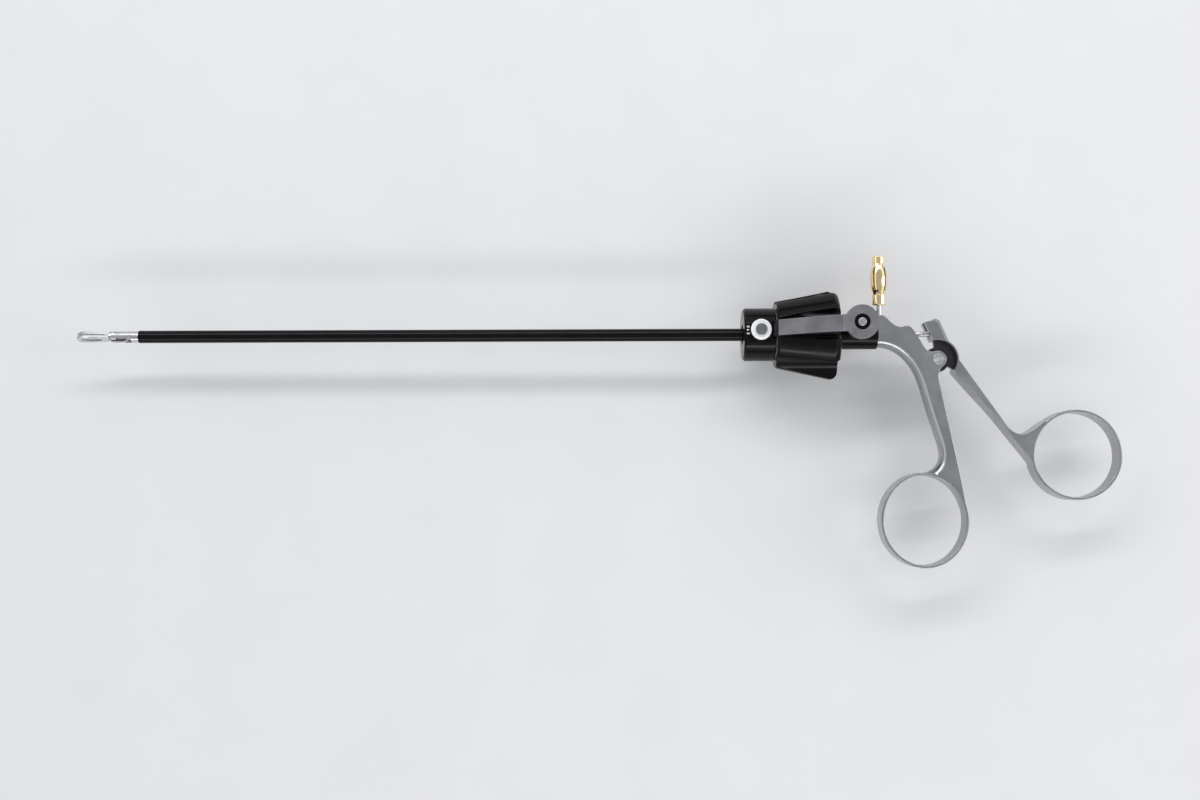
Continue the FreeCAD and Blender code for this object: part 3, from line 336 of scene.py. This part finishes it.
def polymer(name, colour, low, high, grain, strength, stretch=(1.0, 1.0, 1.0)):
    """Moulded or turned plastic: gloss that varies with handling, and a fine grain."""
    material, tree, surface = shader(name, colour, 0.0, low)
    surface.inputs["Specular IOR Level"].default_value = 0.14
    place = object_coordinates(tree)
    clouds = noise(tree, place, 120.0, 5.0)
    tree.links.new(spread(tree, clouds, low, high), surface.inputs["Roughness"])
    tree.links.new(tint(tree, clouds, shaded(colour, 0.85), shaded(colour, 1.15)),
                   surface.inputs["Base Color"])
    fine = noise(tree, object_coordinates(tree, stretch), grain, 2.0)
    bump(tree, surface, fine, strength, 0.02 * MM)
    return material


def turned_grey(name, colour, dark, centre, reach, pitch, dark_end):
    """Satin grey of the arm: lathe rings round the disc's centre, drawn grain elsewhere.

    Up to dark_end along the shaft, where the arm's eye lies on the collar, it is black.
    """
    material, tree, surface = shader(name, colour, 0.7, 0.38)
    place = object_coordinates(tree, location=(-centre[0], -centre[1], 0.0))
    flat = tree.nodes.new("ShaderNodeVectorMath")
    flat.operation = "MULTIPLY"
    flat.inputs[1].default_value = (1.0, 1.0, 0.0)
    tree.links.new(place, flat.inputs[0])
    radius = tree.nodes.new("ShaderNodeVectorMath")
    radius.operation = "LENGTH"
    tree.links.new(flat.outputs["Vector"], radius.inputs[0])
    rings = tree.nodes.new("ShaderNodeMath")
    rings.operation = "SINE"
    turns = tree.nodes.new("ShaderNodeMath")
    turns.operation = "MULTIPLY"
    turns.inputs[1].default_value = 2 * math.pi / pitch
    tree.links.new(radius.outputs["Value"], turns.inputs[0])
    tree.links.new(turns.outputs["Value"], rings.inputs[0])
    drawn = noise(tree, object_coordinates(tree, (0.06, 1.0, 1.0)), 9000.0, 2.0)
    inside = tree.nodes.new("ShaderNodeMath")
    inside.operation = "LESS_THAN"
    inside.inputs[1].default_value = reach
    tree.links.new(radius.outputs["Value"], inside.inputs[0])
    chosen = tree.nodes.new("ShaderNodeMix")
    tree.links.new(inside.outputs["Value"], chosen.inputs["Factor"])
    tree.links.new(drawn, chosen.inputs["A"])
    tree.links.new(rings.outputs["Value"], chosen.inputs["B"])
    bump(tree, surface, chosen.outputs["Result"], 0.6, 0.02 * MM)
    clouds = noise(tree, place, 140.0, 4.0)
    tree.links.new(spread(tree, clouds, 0.32, 0.46), surface.inputs["Roughness"])
    split = tree.nodes.new("ShaderNodeSeparateXYZ")
    tree.links.new(object_coordinates(tree), split.inputs["Vector"])
    grey = spread(tree, split.outputs["X"], 0.0, 1.0, dark_end - 0.1 * MM, dark_end + 0.1 * MM)
    blend = tree.nodes.new("ShaderNodeMix")
    blend.data_type = "RGBA"
    tree.links.new(grey, blend.inputs["Factor"])
    blend.inputs[6].default_value = (*dark, 1.0)
    tree.links.new(tint(tree, clouds, shaded(colour, 0.9), shaded(colour, 1.12)),
                   blend.inputs[7])
    tree.links.new(blend.outputs[2], surface.inputs["Base Color"])
    return material


def make_materials():
    """All finishes, kept by name."""
    look = settings()
    disc_low, disc_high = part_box("arm_bush")
    centre = (disc_low + disc_high) / 2
    return {
        "satin_steel": metal("satin_steel", look.satin, 0.24, 0.34, 5200.0, 0.10),
        "polished_steel": metal("polished_steel", look.polished, 0.06, 0.13, 1800.0, 0.02),
        # Very dark copy of polished steel: painted shade for the lever's recess.
        "recess_shade_steel": metal("recess_shade_steel", shaded(look.polished, 0.10), 0.2, 0.3, 3000.0, 0.03),
        # Darker copy of polished steel: painted shade of the screw's countersunk recess.
        "shaded_screw_steel": metal("shaded_screw_steel", shaded(look.polished, 0.45), 0.15, 0.25, 3000.0, 0.03),
        # Lighter, rougher copy of polished steel: the lighter colour is painted light on the washer.
        "lit_washer_steel": metal("lit_washer_steel", shaded(look.polished, 1.45), 0.5, 0.6, 4000.0, 0.03),
        "tool_steel": metal("tool_steel", shaded(look.polished, 0.95), 0.2, 0.3, 6000.0, 0.06,
                            (0.08, 1.0, 1.0)),
        "gold_plate": metal("gold_plate", look.gold, 0.10, 0.2, 7000.0, 0.05, (0.1, 1.0, 0.1)),
        "black_polymer": polymer("black_polymer", look.black, 0.12, 0.2, 4000.0, 0.04),
        "sleeve_polymer": polymer("sleeve_polymer", look.black, 0.14, 0.22, 5000.0, 0.05,
                                  (0.03, 1.0, 1.0)),
        "seal_rubber": polymer("seal_rubber", shaded(look.black, 2.0), 0.5, 0.6, 4000.0, 0.1),
        "bearing_polymer": polymer("bearing_polymer", look.white, 0.35, 0.45, 4000.0, 0.05),
        "grey_polymer": turned_grey("grey_polymer", look.grey, look.black, centre,
                                    look.lathe_reach, look.lathe_pitch,
                                    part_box("front_collar")[1].x),
        # White of the collar's strips: painted glints.
        "glint_mark_white": polymer("glint_mark_white", look.white, 0.4, 0.5, 3000.0, 0.05),
    }


def finish(name):
    """A finish by name; the first call makes them all."""
    if not FINISHES:
        FINISHES.update(make_materials())
    return FINISHES[name]


# Meshes

def new_object(name, mesh):
    piece = bpy.data.objects.new(name, mesh)
    bpy.context.scene.collection.objects.link(piece)
    return piece


def smooth_by_angle(mesh):
    mesh.polygons.foreach_set("use_smooth", [True] * len(mesh.polygons))
    mesh.set_sharp_from_angle(angle=SMOOTH_ANGLE)


def bake_modifiers(piece):
    """Replaces a piece's mesh by its evaluated one and drops its modifiers."""
    graph = bpy.context.evaluated_depsgraph_get()
    mesh = bpy.data.meshes.new_from_object(piece.evaluated_get(graph))
    old = piece.data
    piece.modifiers.clear()
    piece.data = mesh
    bpy.data.meshes.remove(old)
    return piece


def settle(piece, body, slot, *nodes):
    """Puts a finished piece on its body in place of its nodes; the slot is not used."""
    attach(piece, body)
    if nodes:
        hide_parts(*nodes)
    return piece


def merged_copy(node):
    """The CAD node's mesh as one welded skin with its flat faces joined."""
    work = bmesh.new()
    work.from_mesh(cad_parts[node].data)
    bmesh.ops.remove_doubles(work, verts=work.verts, dist=2 * WELD)
    bmesh.ops.dissolve_limit(work, angle_limit=FLAT_ANGLE, verts=work.verts,
                             edges=work.edges)
    mesh = bpy.data.meshes.new(node + "_skin")
    work.to_mesh(mesh)
    work.free()
    return mesh


def round_rims(mesh, level, width, pivot, clear):
    """Rounds the edges where the flat faces at a height of +level or -level meet their walls.

    Edges nearer than clear to the pivot stay as they are, because a narrow strip lies there.
    """
    work = bmesh.new()
    work.from_mesh(mesh)
    rims = []
    for edge in work.edges:
        if len(edge.link_faces) != 2:
            continue
        if all(abs(abs(vertex.co.z) - level) < ON_LEVEL for vertex in edge.verts):
            slopes = sorted(abs(face.normal.z) for face in edge.link_faces)
            middle = (edge.verts[0].co + edge.verts[1].co) / 2
            away = math.hypot(middle.x - pivot.x, middle.y - pivot.y)
            if slopes[0] < WALL_SLOPE and slopes[1] > FLAT_SLOPE and away > clear:
                rims.append(edge)
    bmesh.ops.bevel(work, geom=rims, offset=width, offset_type="OFFSET", segments=RIM_SEGMENTS,
                    profile=0.5, affect="EDGES", clamp_overlap=False)
    work.to_mesh(mesh)
    work.free()


def dress(node, body, slot, width, look=None, rims=()):
    """Finely rounded skin over a CAD node, in that node's place.

    rims holds the width, pivot and clearance of round_rims, where the node has flat faces.
    """
    mesh = merged_copy(node)
    if rims:
        round_rims(mesh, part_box(node)[1].z, *rims)
    mesh.polygons.foreach_set("use_smooth", [True] * len(mesh.polygons))
    piece = new_object(node + "_skin", mesh)
    bevel = piece.modifiers.new("edges", "BEVEL")
    bevel.width = width
    bevel.segments = EDGE_SEGMENTS
    bevel.limit_method = "ANGLE"
    bevel.angle_limit = EDGE_ANGLE
    bevel.use_clamp_overlap = True
    shade = piece.modifiers.new("shading", "WEIGHTED_NORMAL")
    shade.weight = FLAT_WEIGHT
    bake_modifiers(piece)
    piece.data.materials.clear()
    piece.data.materials.append(finish(look or slot))
    return settle(piece, body, slot, node)


def paint_recess_shade(piece, centre, radius, depth):
    """Gives the recessed flats round a pivot a very dark steel colour: painted shade in the recess."""
    mesh = piece.data
    mesh.materials.append(finish("recess_shade_steel"))
    for face in mesh.polygons:
        corners = [mesh.vertices[index].co for index in face.vertices]
        if all(math.hypot(corner.x - centre[0], corner.y - centre[1]) < radius
               and abs(corner.z) < depth for corner in corners):
            face.material_index = 1


def paint(node, slot):
    """Gives a CAD node that keeps its own mesh its finish."""
    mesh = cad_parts[node].data
    mesh.materials.clear()
    mesh.materials.append(finish(slot))


def lathe(name, profile, segments, values=()):
    """Surface of revolution about X from (along, radius, ...) in metres.

    Further numbers of a profile point are stored on its vertices, under the names in values.
    """
    work = bmesh.new()
    layers = [work.verts.layers.float.new(value) for value in values]
    rings = []
    for along, radius, *extras in profile:
        ring = []
        for step in range(segments):
            angle = 2 * math.pi * step / segments
            vertex = work.verts.new((along, radius * math.sin(angle), radius * math.cos(angle)))
            for layer, extra in zip(layers, extras):
                vertex[layer] = extra
            ring.append(vertex)
        rings.append(ring)
    for first, second in zip(rings, rings[1:]):
        for step in range(segments):
            other = (step + 1) % segments
            work.faces.new((first[step], first[other], second[other], second[step]))
    bmesh.ops.remove_doubles(work, verts=work.verts, dist=WELD)
    bmesh.ops.recalc_face_normals(work, faces=work.faces)
    mesh = bpy.data.meshes.new(name)
    work.to_mesh(mesh)
    work.free()
    return mesh


def rounded(corners, radius, steps):
    """Profile with an arc in place of each inner corner."""
    points = [corners[0]]
    for before, corner, after in zip(corners, corners[1:], corners[2:]):
        a, b, c = Vector(before), Vector(corner), Vector(after)
        to_a, to_c = (a - b), (c - b)
        reach = min(radius, 0.45 * to_a.length, 0.45 * to_c.length)
        start, end = b + to_a.normalized() * reach, b + to_c.normalized() * reach
        for step in range(steps + 1):
            t = step / steps
            points.append(tuple(start * (1 - t) ** 2 + b * 2 * t * (1 - t) + end * t * t))
    points.append(corners[-1])
    return points


def piece_from(mesh, name, slot, body, *nodes):
    """Object with a finish, on its body, from a plain mesh."""
    piece = new_object(name, mesh)
    mesh.materials.clear()
    mesh.materials.append(finish(slot))
    smooth_by_angle(mesh)
    return settle(piece, body, slot, *nodes)


# Geometry Nodes

class Field:
    """A value in a node tree that can be used in plain arithmetic."""

    def __init__(self, tree, socket):
        self.tree = tree
        self.socket = socket

    def math(self, operation, *others):
        node = self.tree.nodes.new("ShaderNodeMath")
        node.operation = operation
        for index, value in enumerate((self, *others)):
            if isinstance(value, Field):
                self.tree.links.new(value.socket, node.inputs[index])
            else:
                node.inputs[index].default_value = value
        return Field(self.tree, node.outputs[0])

    def __add__(self, other):
        return self.math("ADD", other)

    def __sub__(self, other):
        return self.math("SUBTRACT", other)

    def __mul__(self, other):
        return self.math("MULTIPLY", other)

    def __truediv__(self, other):
        return self.math("DIVIDE", other)

    def clamped(self):
        """The value kept between 0 and 1."""
        return self.math("MAXIMUM", 0.0).math("MINIMUM", 1.0)


def position(tree):
    """The three coordinates of each point."""
    place = tree.nodes.new("GeometryNodeInputPosition")
    split = tree.nodes.new("ShaderNodeSeparateXYZ")
    tree.links.new(place.outputs["Position"], split.inputs["Vector"])
    return [Field(tree, split.outputs[axis]) for axis in "XYZ"]


def stored(tree, name):
    """A number stored on each vertex."""
    node = tree.nodes.new("GeometryNodeInputNamedAttribute")
    node.data_type = "FLOAT"
    node.inputs["Name"].default_value = name
    return Field(tree, node.outputs["Attribute"])


def move_to(tree, geometry, along, side, up):
    """Set Position node with worked out coordinates."""
    join = tree.nodes.new("ShaderNodeCombineXYZ")
    for axis, value in zip("XYZ", (along, side, up)):
        tree.links.new(value.socket, join.inputs[axis])
    move = tree.nodes.new("GeometryNodeSetPosition")
    tree.links.new(geometry, move.inputs["Geometry"])
    tree.links.new(join.outputs["Vector"], move.inputs["Position"])
    return move


def new_tree(name, inputs):
    """Geometry node tree with a geometry socket and named float inputs."""
    tree = bpy.data.node_groups.new(name, "GeometryNodeTree")
    tree.interface.new_socket("Geometry", in_out="INPUT", socket_type="NodeSocketGeometry")
    tree.interface.new_socket("Geometry", in_out="OUTPUT", socket_type="NodeSocketGeometry")
    identifiers = {}
    for label, kind in inputs:
        item = tree.interface.new_socket(label, in_out="INPUT", socket_type=kind)
        identifiers[label] = item.identifier
    entry = tree.nodes.new("NodeGroupInput")
    leave = tree.nodes.new("NodeGroupOutput")
    return tree, entry, leave, identifiers


def close_tree(tree, leave, geometry, material):
    """Realize Instances and Set Material at the end of a tree."""
    real = tree.nodes.new("GeometryNodeRealizeInstances")
    paint_node = tree.nodes.new("GeometryNodeSetMaterial")
    paint_node.inputs["Material"].default_value = material
    tree.links.new(geometry, real.inputs["Geometry"])
    tree.links.new(real.outputs["Geometry"], paint_node.inputs["Geometry"])
    tree.links.new(paint_node.outputs["Geometry"], leave.inputs[0])


def run_tree(piece, tree, identifiers, values):
    modifier = piece.modifiers.new(tree.name, "NODES")
    modifier.node_group = tree
    for label, value in values.items():
        modifier[identifiers[label]] = value
    return bake_modifiers(piece)


def scoop_tree(material):
    """Tree that gives a body of revolution about X evenly spaced round hollows.

    Each vertex holds the radius of the petals at its place and how far it follows their outline.
    The outline runs down the hollow, over a rounded crest and along the petal to its middle.
    """
    names = ("Petals", "Scoop radius", "Scoop floor", "Turn", "Crest")
    tree, entry, leave, identifiers = new_tree(
        "knob_scoops", [(name, "NodeSocketFloat") for name in names])
    petals, scoop, floor, turn, crest = (Field(tree, entry.outputs[name]) for name in names)
    along, side, up = position(tree)
    reach = (side * side + up * up).math("SQRT")
    angle = side.math("ARCTAN2", up)
    radius, share = (stored(tree, name) for name in ("outline", "share"))
    sector = petals.math("POWER", -1.0) * (2 * math.pi)
    index = (angle / sector).math("ROUND")
    offset = angle - index * sector
    half_sector = sector * 0.5
    column = offset.math("ABSOLUTE") / half_sector
    in_scoop = (column / SCOOP_SHARE).math("MINIMUM", 1.0)
    in_crest = ((column - SCOOP_SHARE) / CREST_SHARE).clamped()
    in_petal = ((column - (SCOOP_SHARE + CREST_SHARE)) / PETAL_SHARE).math("MAXIMUM", 0.0)
    centre = floor + scoop
    meeting = (centre * centre + scoop * scoop - radius * radius) / (centre * scoop * 2.0)
    scoop_end = meeting.math("ARCCOSINE")
    edge = (scoop_end.math("SINE") * scoop).math(
        "ARCTAN2", centre - scoop_end.math("COSINE") * scoop)
    scoop_angle = (scoop_end - crest / scoop) * in_scoop
    petal_start = edge + crest / radius
    petal_angle = petal_start + (half_sector - petal_start) * in_petal
    stay = (in_crest * -1.0) + 1.0
    weights = (stay * stay, in_crest * stay * 2.0, in_crest * in_crest)
    heights = (centre - scoop_angle.math("COSINE") * scoop, edge.math("COSINE") * radius,
               petal_angle.math("COSINE") * radius)
    widths = (scoop_angle.math("SINE") * scoop, edge.math("SINE") * radius,
              petal_angle.math("SINE") * radius)
    height = weights[0] * heights[0] + weights[1] * heights[1] + weights[2] * heights[2]
    width = weights[0] * widths[0] + weights[1] * widths[1] + weights[2] * widths[2]
    width = width * offset.math("SIGN")
    middle = turn + index * sector
    outline_side = height * middle.math("SINE") + width * middle.math("COSINE")
    outline_up = height * middle.math("COSINE") - width * middle.math("SINE")
    round_side = reach * (turn + angle).math("SINE")
    round_up = reach * (turn + angle).math("COSINE")
    move = move_to(tree, entry.outputs["Geometry"], along,
                   round_side + (outline_side - round_side) * share,
                   round_up + (outline_up - round_up) * share)
    close_tree(tree, leave, move.outputs["Geometry"], material)
    return tree, identifiers


# Operators

class GRASPER_OT_jaws(bpy.types.Operator):
    """Polished jaws, clevis and pins at the shaft's end"""

    bl_idname = "grasper.jaws"
    bl_label = "Jaws and clevis"

    def execute(self, context):
        fine = settings().fine_edge * 0.6
        dress("upper_jaw", "jaw_upper", "polished_steel", fine)
        dress("lower_jaw", "jaw_lower", "polished_steel", fine)
        dress("clevis", "rotor", "polished_steel", fine)
        dress("jaw_pivot_pin", "rotor", "polished_steel", fine)
        dress("drive_pin", "rod", "tool_steel", fine)
        return {"FINISHED"}


class GRASPER_OT_shaft(bpy.types.Operator):
    """Insulated shaft, push rod and the pieces inside the collar and knob"""

    bl_idname = "grasper.shaft"
    bl_label = "Shaft"

    def execute(self, context):
        low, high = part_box("insulation_sleeve")
        radius = high.y
        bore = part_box("shaft_tube")[1].y
        lip = settings().fine_edge
        rows = [low.x + lip + (high.x - low.x - 2 * lip) * row / SLEEVE_ROWS
                for row in range(SLEEVE_ROWS + 1)]
        profile = [(low.x, bore), (low.x, radius - lip)]
        profile += [(x, radius) for x in rows]
        profile += [(high.x, radius - lip), (high.x, bore)]
        mesh = lathe("insulation_sleeve_skin", profile, SLEEVE_SIDES)
        piece_from(mesh, "insulation_sleeve_skin", "sleeve_polymer", "rotor", "insulation_sleeve")
        dress("push_rod", "rod", "tool_steel", settings().rod_edge)
        dress("rod_ball", "rod", "polished_steel", settings().rod_edge)
        for node, slot in (("shaft_tube", "tool_steel"), ("retaining_clip", "tool_steel"),
                           ("knob_hub", "tool_steel"), ("rod_seal", "seal_rubber"),
                           ("seal_gland", "tool_steel"), ("nose_bush", "bearing_polymer"),
                           ("thrust_washer", "bearing_polymer"),
                           ("knob_set_screw", "tool_steel")):
            paint(node, slot)
        return {"FINISHED"}


class GRASPER_OT_collar(bpy.types.Operator):
    """Black front collar with its white strips, painted in place of glints"""

    bl_idname = "grasper.collar"
    bl_label = "Front collar"

    def execute(self, context):
        dress("front_collar", "handle", "black_polymer", settings().fine_edge)
        # Three thin white strips on the collar: painted glints.
        marks_look = context.scene.grasper_marks
        low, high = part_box("front_collar")
        work = bmesh.new()
        for offset in MARK_OFFSETS:
            self.add_mark(work, marks_look, low.x + marks_look.front, high.y, offset)
        mesh = bpy.data.meshes.new("painted_glint_marks")
        work.to_mesh(mesh)
        work.free()
        marks = new_object("painted_glint_marks", mesh)
        solid = marks.modifiers.new("thickness", "SOLIDIFY")
        solid.thickness = marks_look.thickness
        bake_modifiers(marks)
        marks.data.materials.append(finish("glint_mark_white"))
        settle(marks, "handle", "bearing_polymer")
        return {"FINISHED"}

    def add_mark(self, work, look, start, radius, offset):
        """One mark, bent over a collar of this radius, at a side offset."""
        grid = []
        for row in range(MARK_ROWS + 1):
            side = offset + (2 * row / MARK_ROWS - 1) * look.half_width
            height = math.sqrt(radius * radius - side * side) + look.lift
            grid.append([work.verts.new((start + look.length * column / MARK_COLUMNS, side, height))
                         for column in range(MARK_COLUMNS + 1)])
        for first, second in zip(grid, grid[1:]):
            for corners in zip(first, first[1:], second[1:], second):
                work.faces.new(corners)


class GRASPER_OT_knob(bpy.types.Operator):
    """Petalled rotation knob, carved by rule from a flared body"""

    bl_idname = "grasper.knob"
    bl_label = "Rotation knob"

    def execute(self, context):
        knob = context.scene.grasper_knob
        low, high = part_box("rotation_knob")
        front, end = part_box("thrust_washer")[1].x + knob.front_gap, high.x
        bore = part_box("insulation_sleeve")[1].y
        flare_start, flare_end = front + knob.front_edge, end - knob.lip
        outer = [(front, knob.front_radius - knob.front_edge)]
        for row in range(FLARE_ROWS + 1):
            share = row / FLARE_ROWS
            outer.append((flare_start + (flare_end - flare_start) * share,
                          knob.front_radius + (knob.rear_radius - knob.front_radius) * share))
        for row in range(1, LIP_ROWS + 1):
            angle = math.pi / 2 * row / LIP_ROWS
            outer.append((flare_end + knob.lip * math.sin(angle),
                          knob.rear_radius - knob.lip * (1 - math.cos(angle))))
        start = [(x, r, outer[0][1], 0.0) for x, r in (
            (low.x, bore), (low.x, knob.journal_radius), (front, knob.journal_radius))]
        cup = [(x, r, outer[-1][1], 0.0) for x, r in rounded(
            [(end, knob.cup_radius + knob.front_edge), (end, knob.cup_radius),
             (end - knob.cup_depth, knob.cup_radius), (end - knob.cup_depth, knob.hub_radius)],
            knob.front_edge, CUP_STEPS)]
        profile = start + [(x, r, r, 1.0) for x, r in outer] + cup
        mesh = lathe("rotation_knob_skin", profile, knob.petals * KNOB_COLUMNS,
                     ("outline", "share"))
        piece = new_object("rotation_knob_skin", mesh)
        tree, identifiers = scoop_tree(finish("black_polymer"))
        run_tree(piece, tree, identifiers, {
            "Petals": float(knob.petals), "Scoop radius": knob.scoop_radius,
            "Scoop floor": knob.scoop_floor, "Turn": knob.turn, "Crest": knob.crest})
        smooth_by_angle(piece.data)
        settle(piece, "rotor", "black_polymer", "rotation_knob")
        return {"FINISHED"}


class GRASPER_OT_side_arm(bpy.types.Operator):
    """Grey side arm, its bush, pin, screw and bright washer"""

    bl_idname = "grasper.side_arm"
    bl_label = "Side arm"

    def execute(self, context):
        fine = settings().fine_edge
        dress("side_arm", "handle", "grey_polymer", fine * 1.5)
        dress("arm_bush", "handle", "black_polymer", fine)
        dress("arm_pin", "handle", "tool_steel", fine * 2)
        # The screw's steel is darkened: painted shade of its recess.
        dress("arm_screw", "handle", "tool_steel", fine, look="shaded_screw_steel")
        # The washer's lighter steel colour is painted light.
        dress("button_washer", "handle", "polished_steel", fine * 2, look="lit_washer_steel")
        return {"FINISHED"}


class GRASPER_OT_housing(bpy.types.Operator):
    """Black insulating housing behind the knob"""

    bl_idname = "grasper.housing"
    bl_label = "Insulating housing"

    def execute(self, context):
        dress("insulating_housing", "handle", "black_polymer", settings().fine_edge)
        return {"FINISHED"}


class GRASPER_OT_handle(bpy.types.Operator):
    """Ring handle: fixed frame, thumb lever, pivot screw and nut"""

    bl_idname = "grasper.handle"
    bl_label = "Ring handle"

    def execute(self, context):
        look = settings()
        low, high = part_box("pivot_screw")
        pivot = (low + high) / 2
        dress("finger_frame", "handle", "satin_steel", look.fine_edge,
              rims=(look.edge, pivot, 0.0))
        lever = dress("thumb_lever", "lever", "satin_steel", look.fine_edge * 0.5,
                      rims=(look.edge, pivot, look.recess_radius))
        # Painted shade: the recessed flats round the pivot get a very dark steel colour.
        paint_recess_shade(lever, pivot, look.recess_radius, look.recess_depth)
        dress("pivot_screw", "handle", "tool_steel", look.fine_edge)
        dress("pivot_nut", "handle", "tool_steel", look.fine_edge)
        return {"FINISHED"}


class GRASPER_OT_plug(bpy.types.Operator):
    """Gold connector plug with its sprung leaves"""

    bl_idname = "grasper.plug"
    bl_label = "Connector plug"

    def execute(self, context):
        fine = settings().fine_edge
        dress("contact_stem", "handle", "polished_steel", fine)
        dress("contact_plug", "handle", "gold_plate", fine)
        dress("contact_cage", "handle", "gold_plate", fine * 0.7)
        return {"FINISHED"}


class GRASPER_OT_stage(bpy.types.Operator):
    """Floor, lamps and the camera of the side view"""

    bl_idname = "grasper.stage"
    bl_label = "Stage"

    def execute(self, context):
        stage = context.scene.grasper_stage
        self.make_floor(stage)
        self.make_lamps(stage)
        self.make_sky(stage)
        self.make_camera(stage)
        context.scene.view_settings.view_transform = "Standard"
        return {"FINISHED"}

    def make_floor(self, stage):
        height = CAD_LOW.z - FLOOR_GAP
        mesh = bpy.data.meshes.new("floor")
        corners = [(-FLOOR_HALF, -FLOOR_HALF, height), (FLOOR_HALF, -FLOOR_HALF, height),
                   (FLOOR_HALF, FLOOR_HALF, height), (-FLOOR_HALF, FLOOR_HALF, height)]
        mesh.from_pydata(corners, [], [(0, 1, 2, 3)])
        material, tree, surface = shader("floor", stage.floor, 0.0, 0.6)
        grain = noise(tree, object_coordinates(tree), 30.0, 4.0)
        tree.links.new(tint(tree, grain, shaded(stage.floor, 0.99), shaded(stage.floor, 1.01)),
                       surface.inputs["Base Color"])
        mesh.materials.append(material)
        floor = new_object("floor", mesh)

    def make_lamps(self, stage):
        for name, place, size, share in LAMPS:
            light = bpy.data.lights.new(name, "AREA")
            light.shape = "RECTANGLE"
            light.size, light.size_y = size
            light.energy = stage.lamp * share
            lamp = bpy.data.objects.new(name, light)
            bpy.context.scene.collection.objects.link(lamp)
            lamp.location = STUDIO_CENTRE + Vector(place)
            lamp.rotation_mode = "QUATERNION"
            lamp.rotation_quaternion = (-Vector(place)).to_track_quat("-Z", "Y")

    def make_sky(self, stage):
        """Bright band round the stage, softer overhead; the camera itself sees plain white."""
        world = bpy.data.worlds.new("studio")
        bpy.context.scene.world = world
        world.use_nodes = True
        tree = world.node_tree
        background = tree.nodes["Background"]
        background.inputs["Strength"].default_value = stage.sky
        direction = tree.nodes.new("ShaderNodeTexCoord")
        split = tree.nodes.new("ShaderNodeSeparateXYZ")
        tree.links.new(direction.outputs["Generated"], split.inputs["Vector"])
        ramp = tree.nodes.new("ShaderNodeValToRGB")
        ramp.color_ramp.interpolation = "EASE"
        stops = ramp.color_ramp.elements
        (stops[0].position, low), (stops[1].position, high) = SKY_STOPS[0], SKY_STOPS[-1]
        stops[0].color, stops[1].color = cool(low), cool(high)
        for place, level in SKY_STOPS[1:-1]:
            stops.new(place).color = cool(level)
        tree.links.new(split.outputs["Z"], ramp.inputs["Fac"])
        path = tree.nodes.new("ShaderNodeLightPath")
        seen = tree.nodes.new("ShaderNodeMix")
        seen.data_type = "RGBA"
        seen.inputs[7].default_value = cool(SEEN_SKY)
        tree.links.new(path.outputs["Is Camera Ray"], seen.inputs["Factor"])
        tree.links.new(ramp.outputs["Color"], seen.inputs[6])
        tree.links.new(seen.outputs[2], background.inputs["Color"])

    def make_camera(self, stage):
        data = bpy.data.cameras.new("camera")
        data.sensor_width = 36.0
        data.lens = 36.0 * stage.distance / (IMAGE_WIDTH * stage.pixel)
        data.clip_start = 0.01
        camera = bpy.data.objects.new("camera", data)
        bpy.context.scene.collection.objects.link(camera)
        right = stage.origin_column - IMAGE_WIDTH / 2
        above = IMAGE_HEIGHT / 2 - stage.origin_row
        turn = Matrix.Rotation(-stage.roll, 3, "Z")
        offset = turn @ Vector((right, above, 0.0)) * stage.pixel
        aim = -offset
        back = Vector((0.0, -math.sin(stage.tilt), math.cos(stage.tilt)))
        camera.location = aim + turn @ back * stage.distance
        tilt_turn = Euler((stage.tilt, 0.0, 0.0)).to_matrix()
        camera.rotation_euler = (turn @ tilt_turn).to_euler()
        bpy.context.scene.camera = camera


class GRASPER_PT_panel(bpy.types.Panel):
    """Sidebar panel that lists the grasper's operators"""

    bl_idname = "GRASPER_PT_panel"
    bl_label = "Grasper"
    bl_space_type = "VIEW_3D"
    bl_region_type = "UI"
    bl_category = "Grasper"

    def draw(self, context):
        column = self.layout.column()
        for operator in OPERATORS:
            column.operator(operator.bl_idname)
        scene = context.scene
        for group in (scene.grasper_finish, scene.grasper_marks, scene.grasper_knob,
                      scene.grasper_stage):
            box = column.box()
            for name in group.__annotations__:
                box.prop(group, name)


OPERATORS = (GRASPER_OT_jaws, GRASPER_OT_shaft, GRASPER_OT_collar, GRASPER_OT_knob,
             GRASPER_OT_side_arm, GRASPER_OT_housing, GRASPER_OT_handle, GRASPER_OT_plug,
             GRASPER_OT_stage)
CLASSES = (GrasperFinish, GrasperMarks, GrasperKnob, GrasperStage, *OPERATORS, GRASPER_PT_panel)


def register():
    for item in CLASSES:
        bpy.utils.register_class(item)
    bpy.types.Scene.grasper_finish = PointerProperty(type=GrasperFinish)
    bpy.types.Scene.grasper_marks = PointerProperty(type=GrasperMarks)
    bpy.types.Scene.grasper_knob = PointerProperty(type=GrasperKnob)
    bpy.types.Scene.grasper_stage = PointerProperty(type=GrasperStage)


def unregister():
    del bpy.types.Scene.grasper_stage
    del bpy.types.Scene.grasper_knob
    del bpy.types.Scene.grasper_marks
    del bpy.types.Scene.grasper_finish
    for item in reversed(CLASSES):
        bpy.utils.unregister_class(item)


def main():
    """Registers the add-on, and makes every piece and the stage."""
    register()
    for call in (bpy.ops.grasper.jaws, bpy.ops.grasper.shaft, bpy.ops.grasper.collar,
                 bpy.ops.grasper.knob, bpy.ops.grasper.side_arm, bpy.ops.grasper.housing,
                 bpy.ops.grasper.handle, bpy.ops.grasper.plug, bpy.ops.grasper.stage):
        call()


if __name__ == "__main__":
    main()
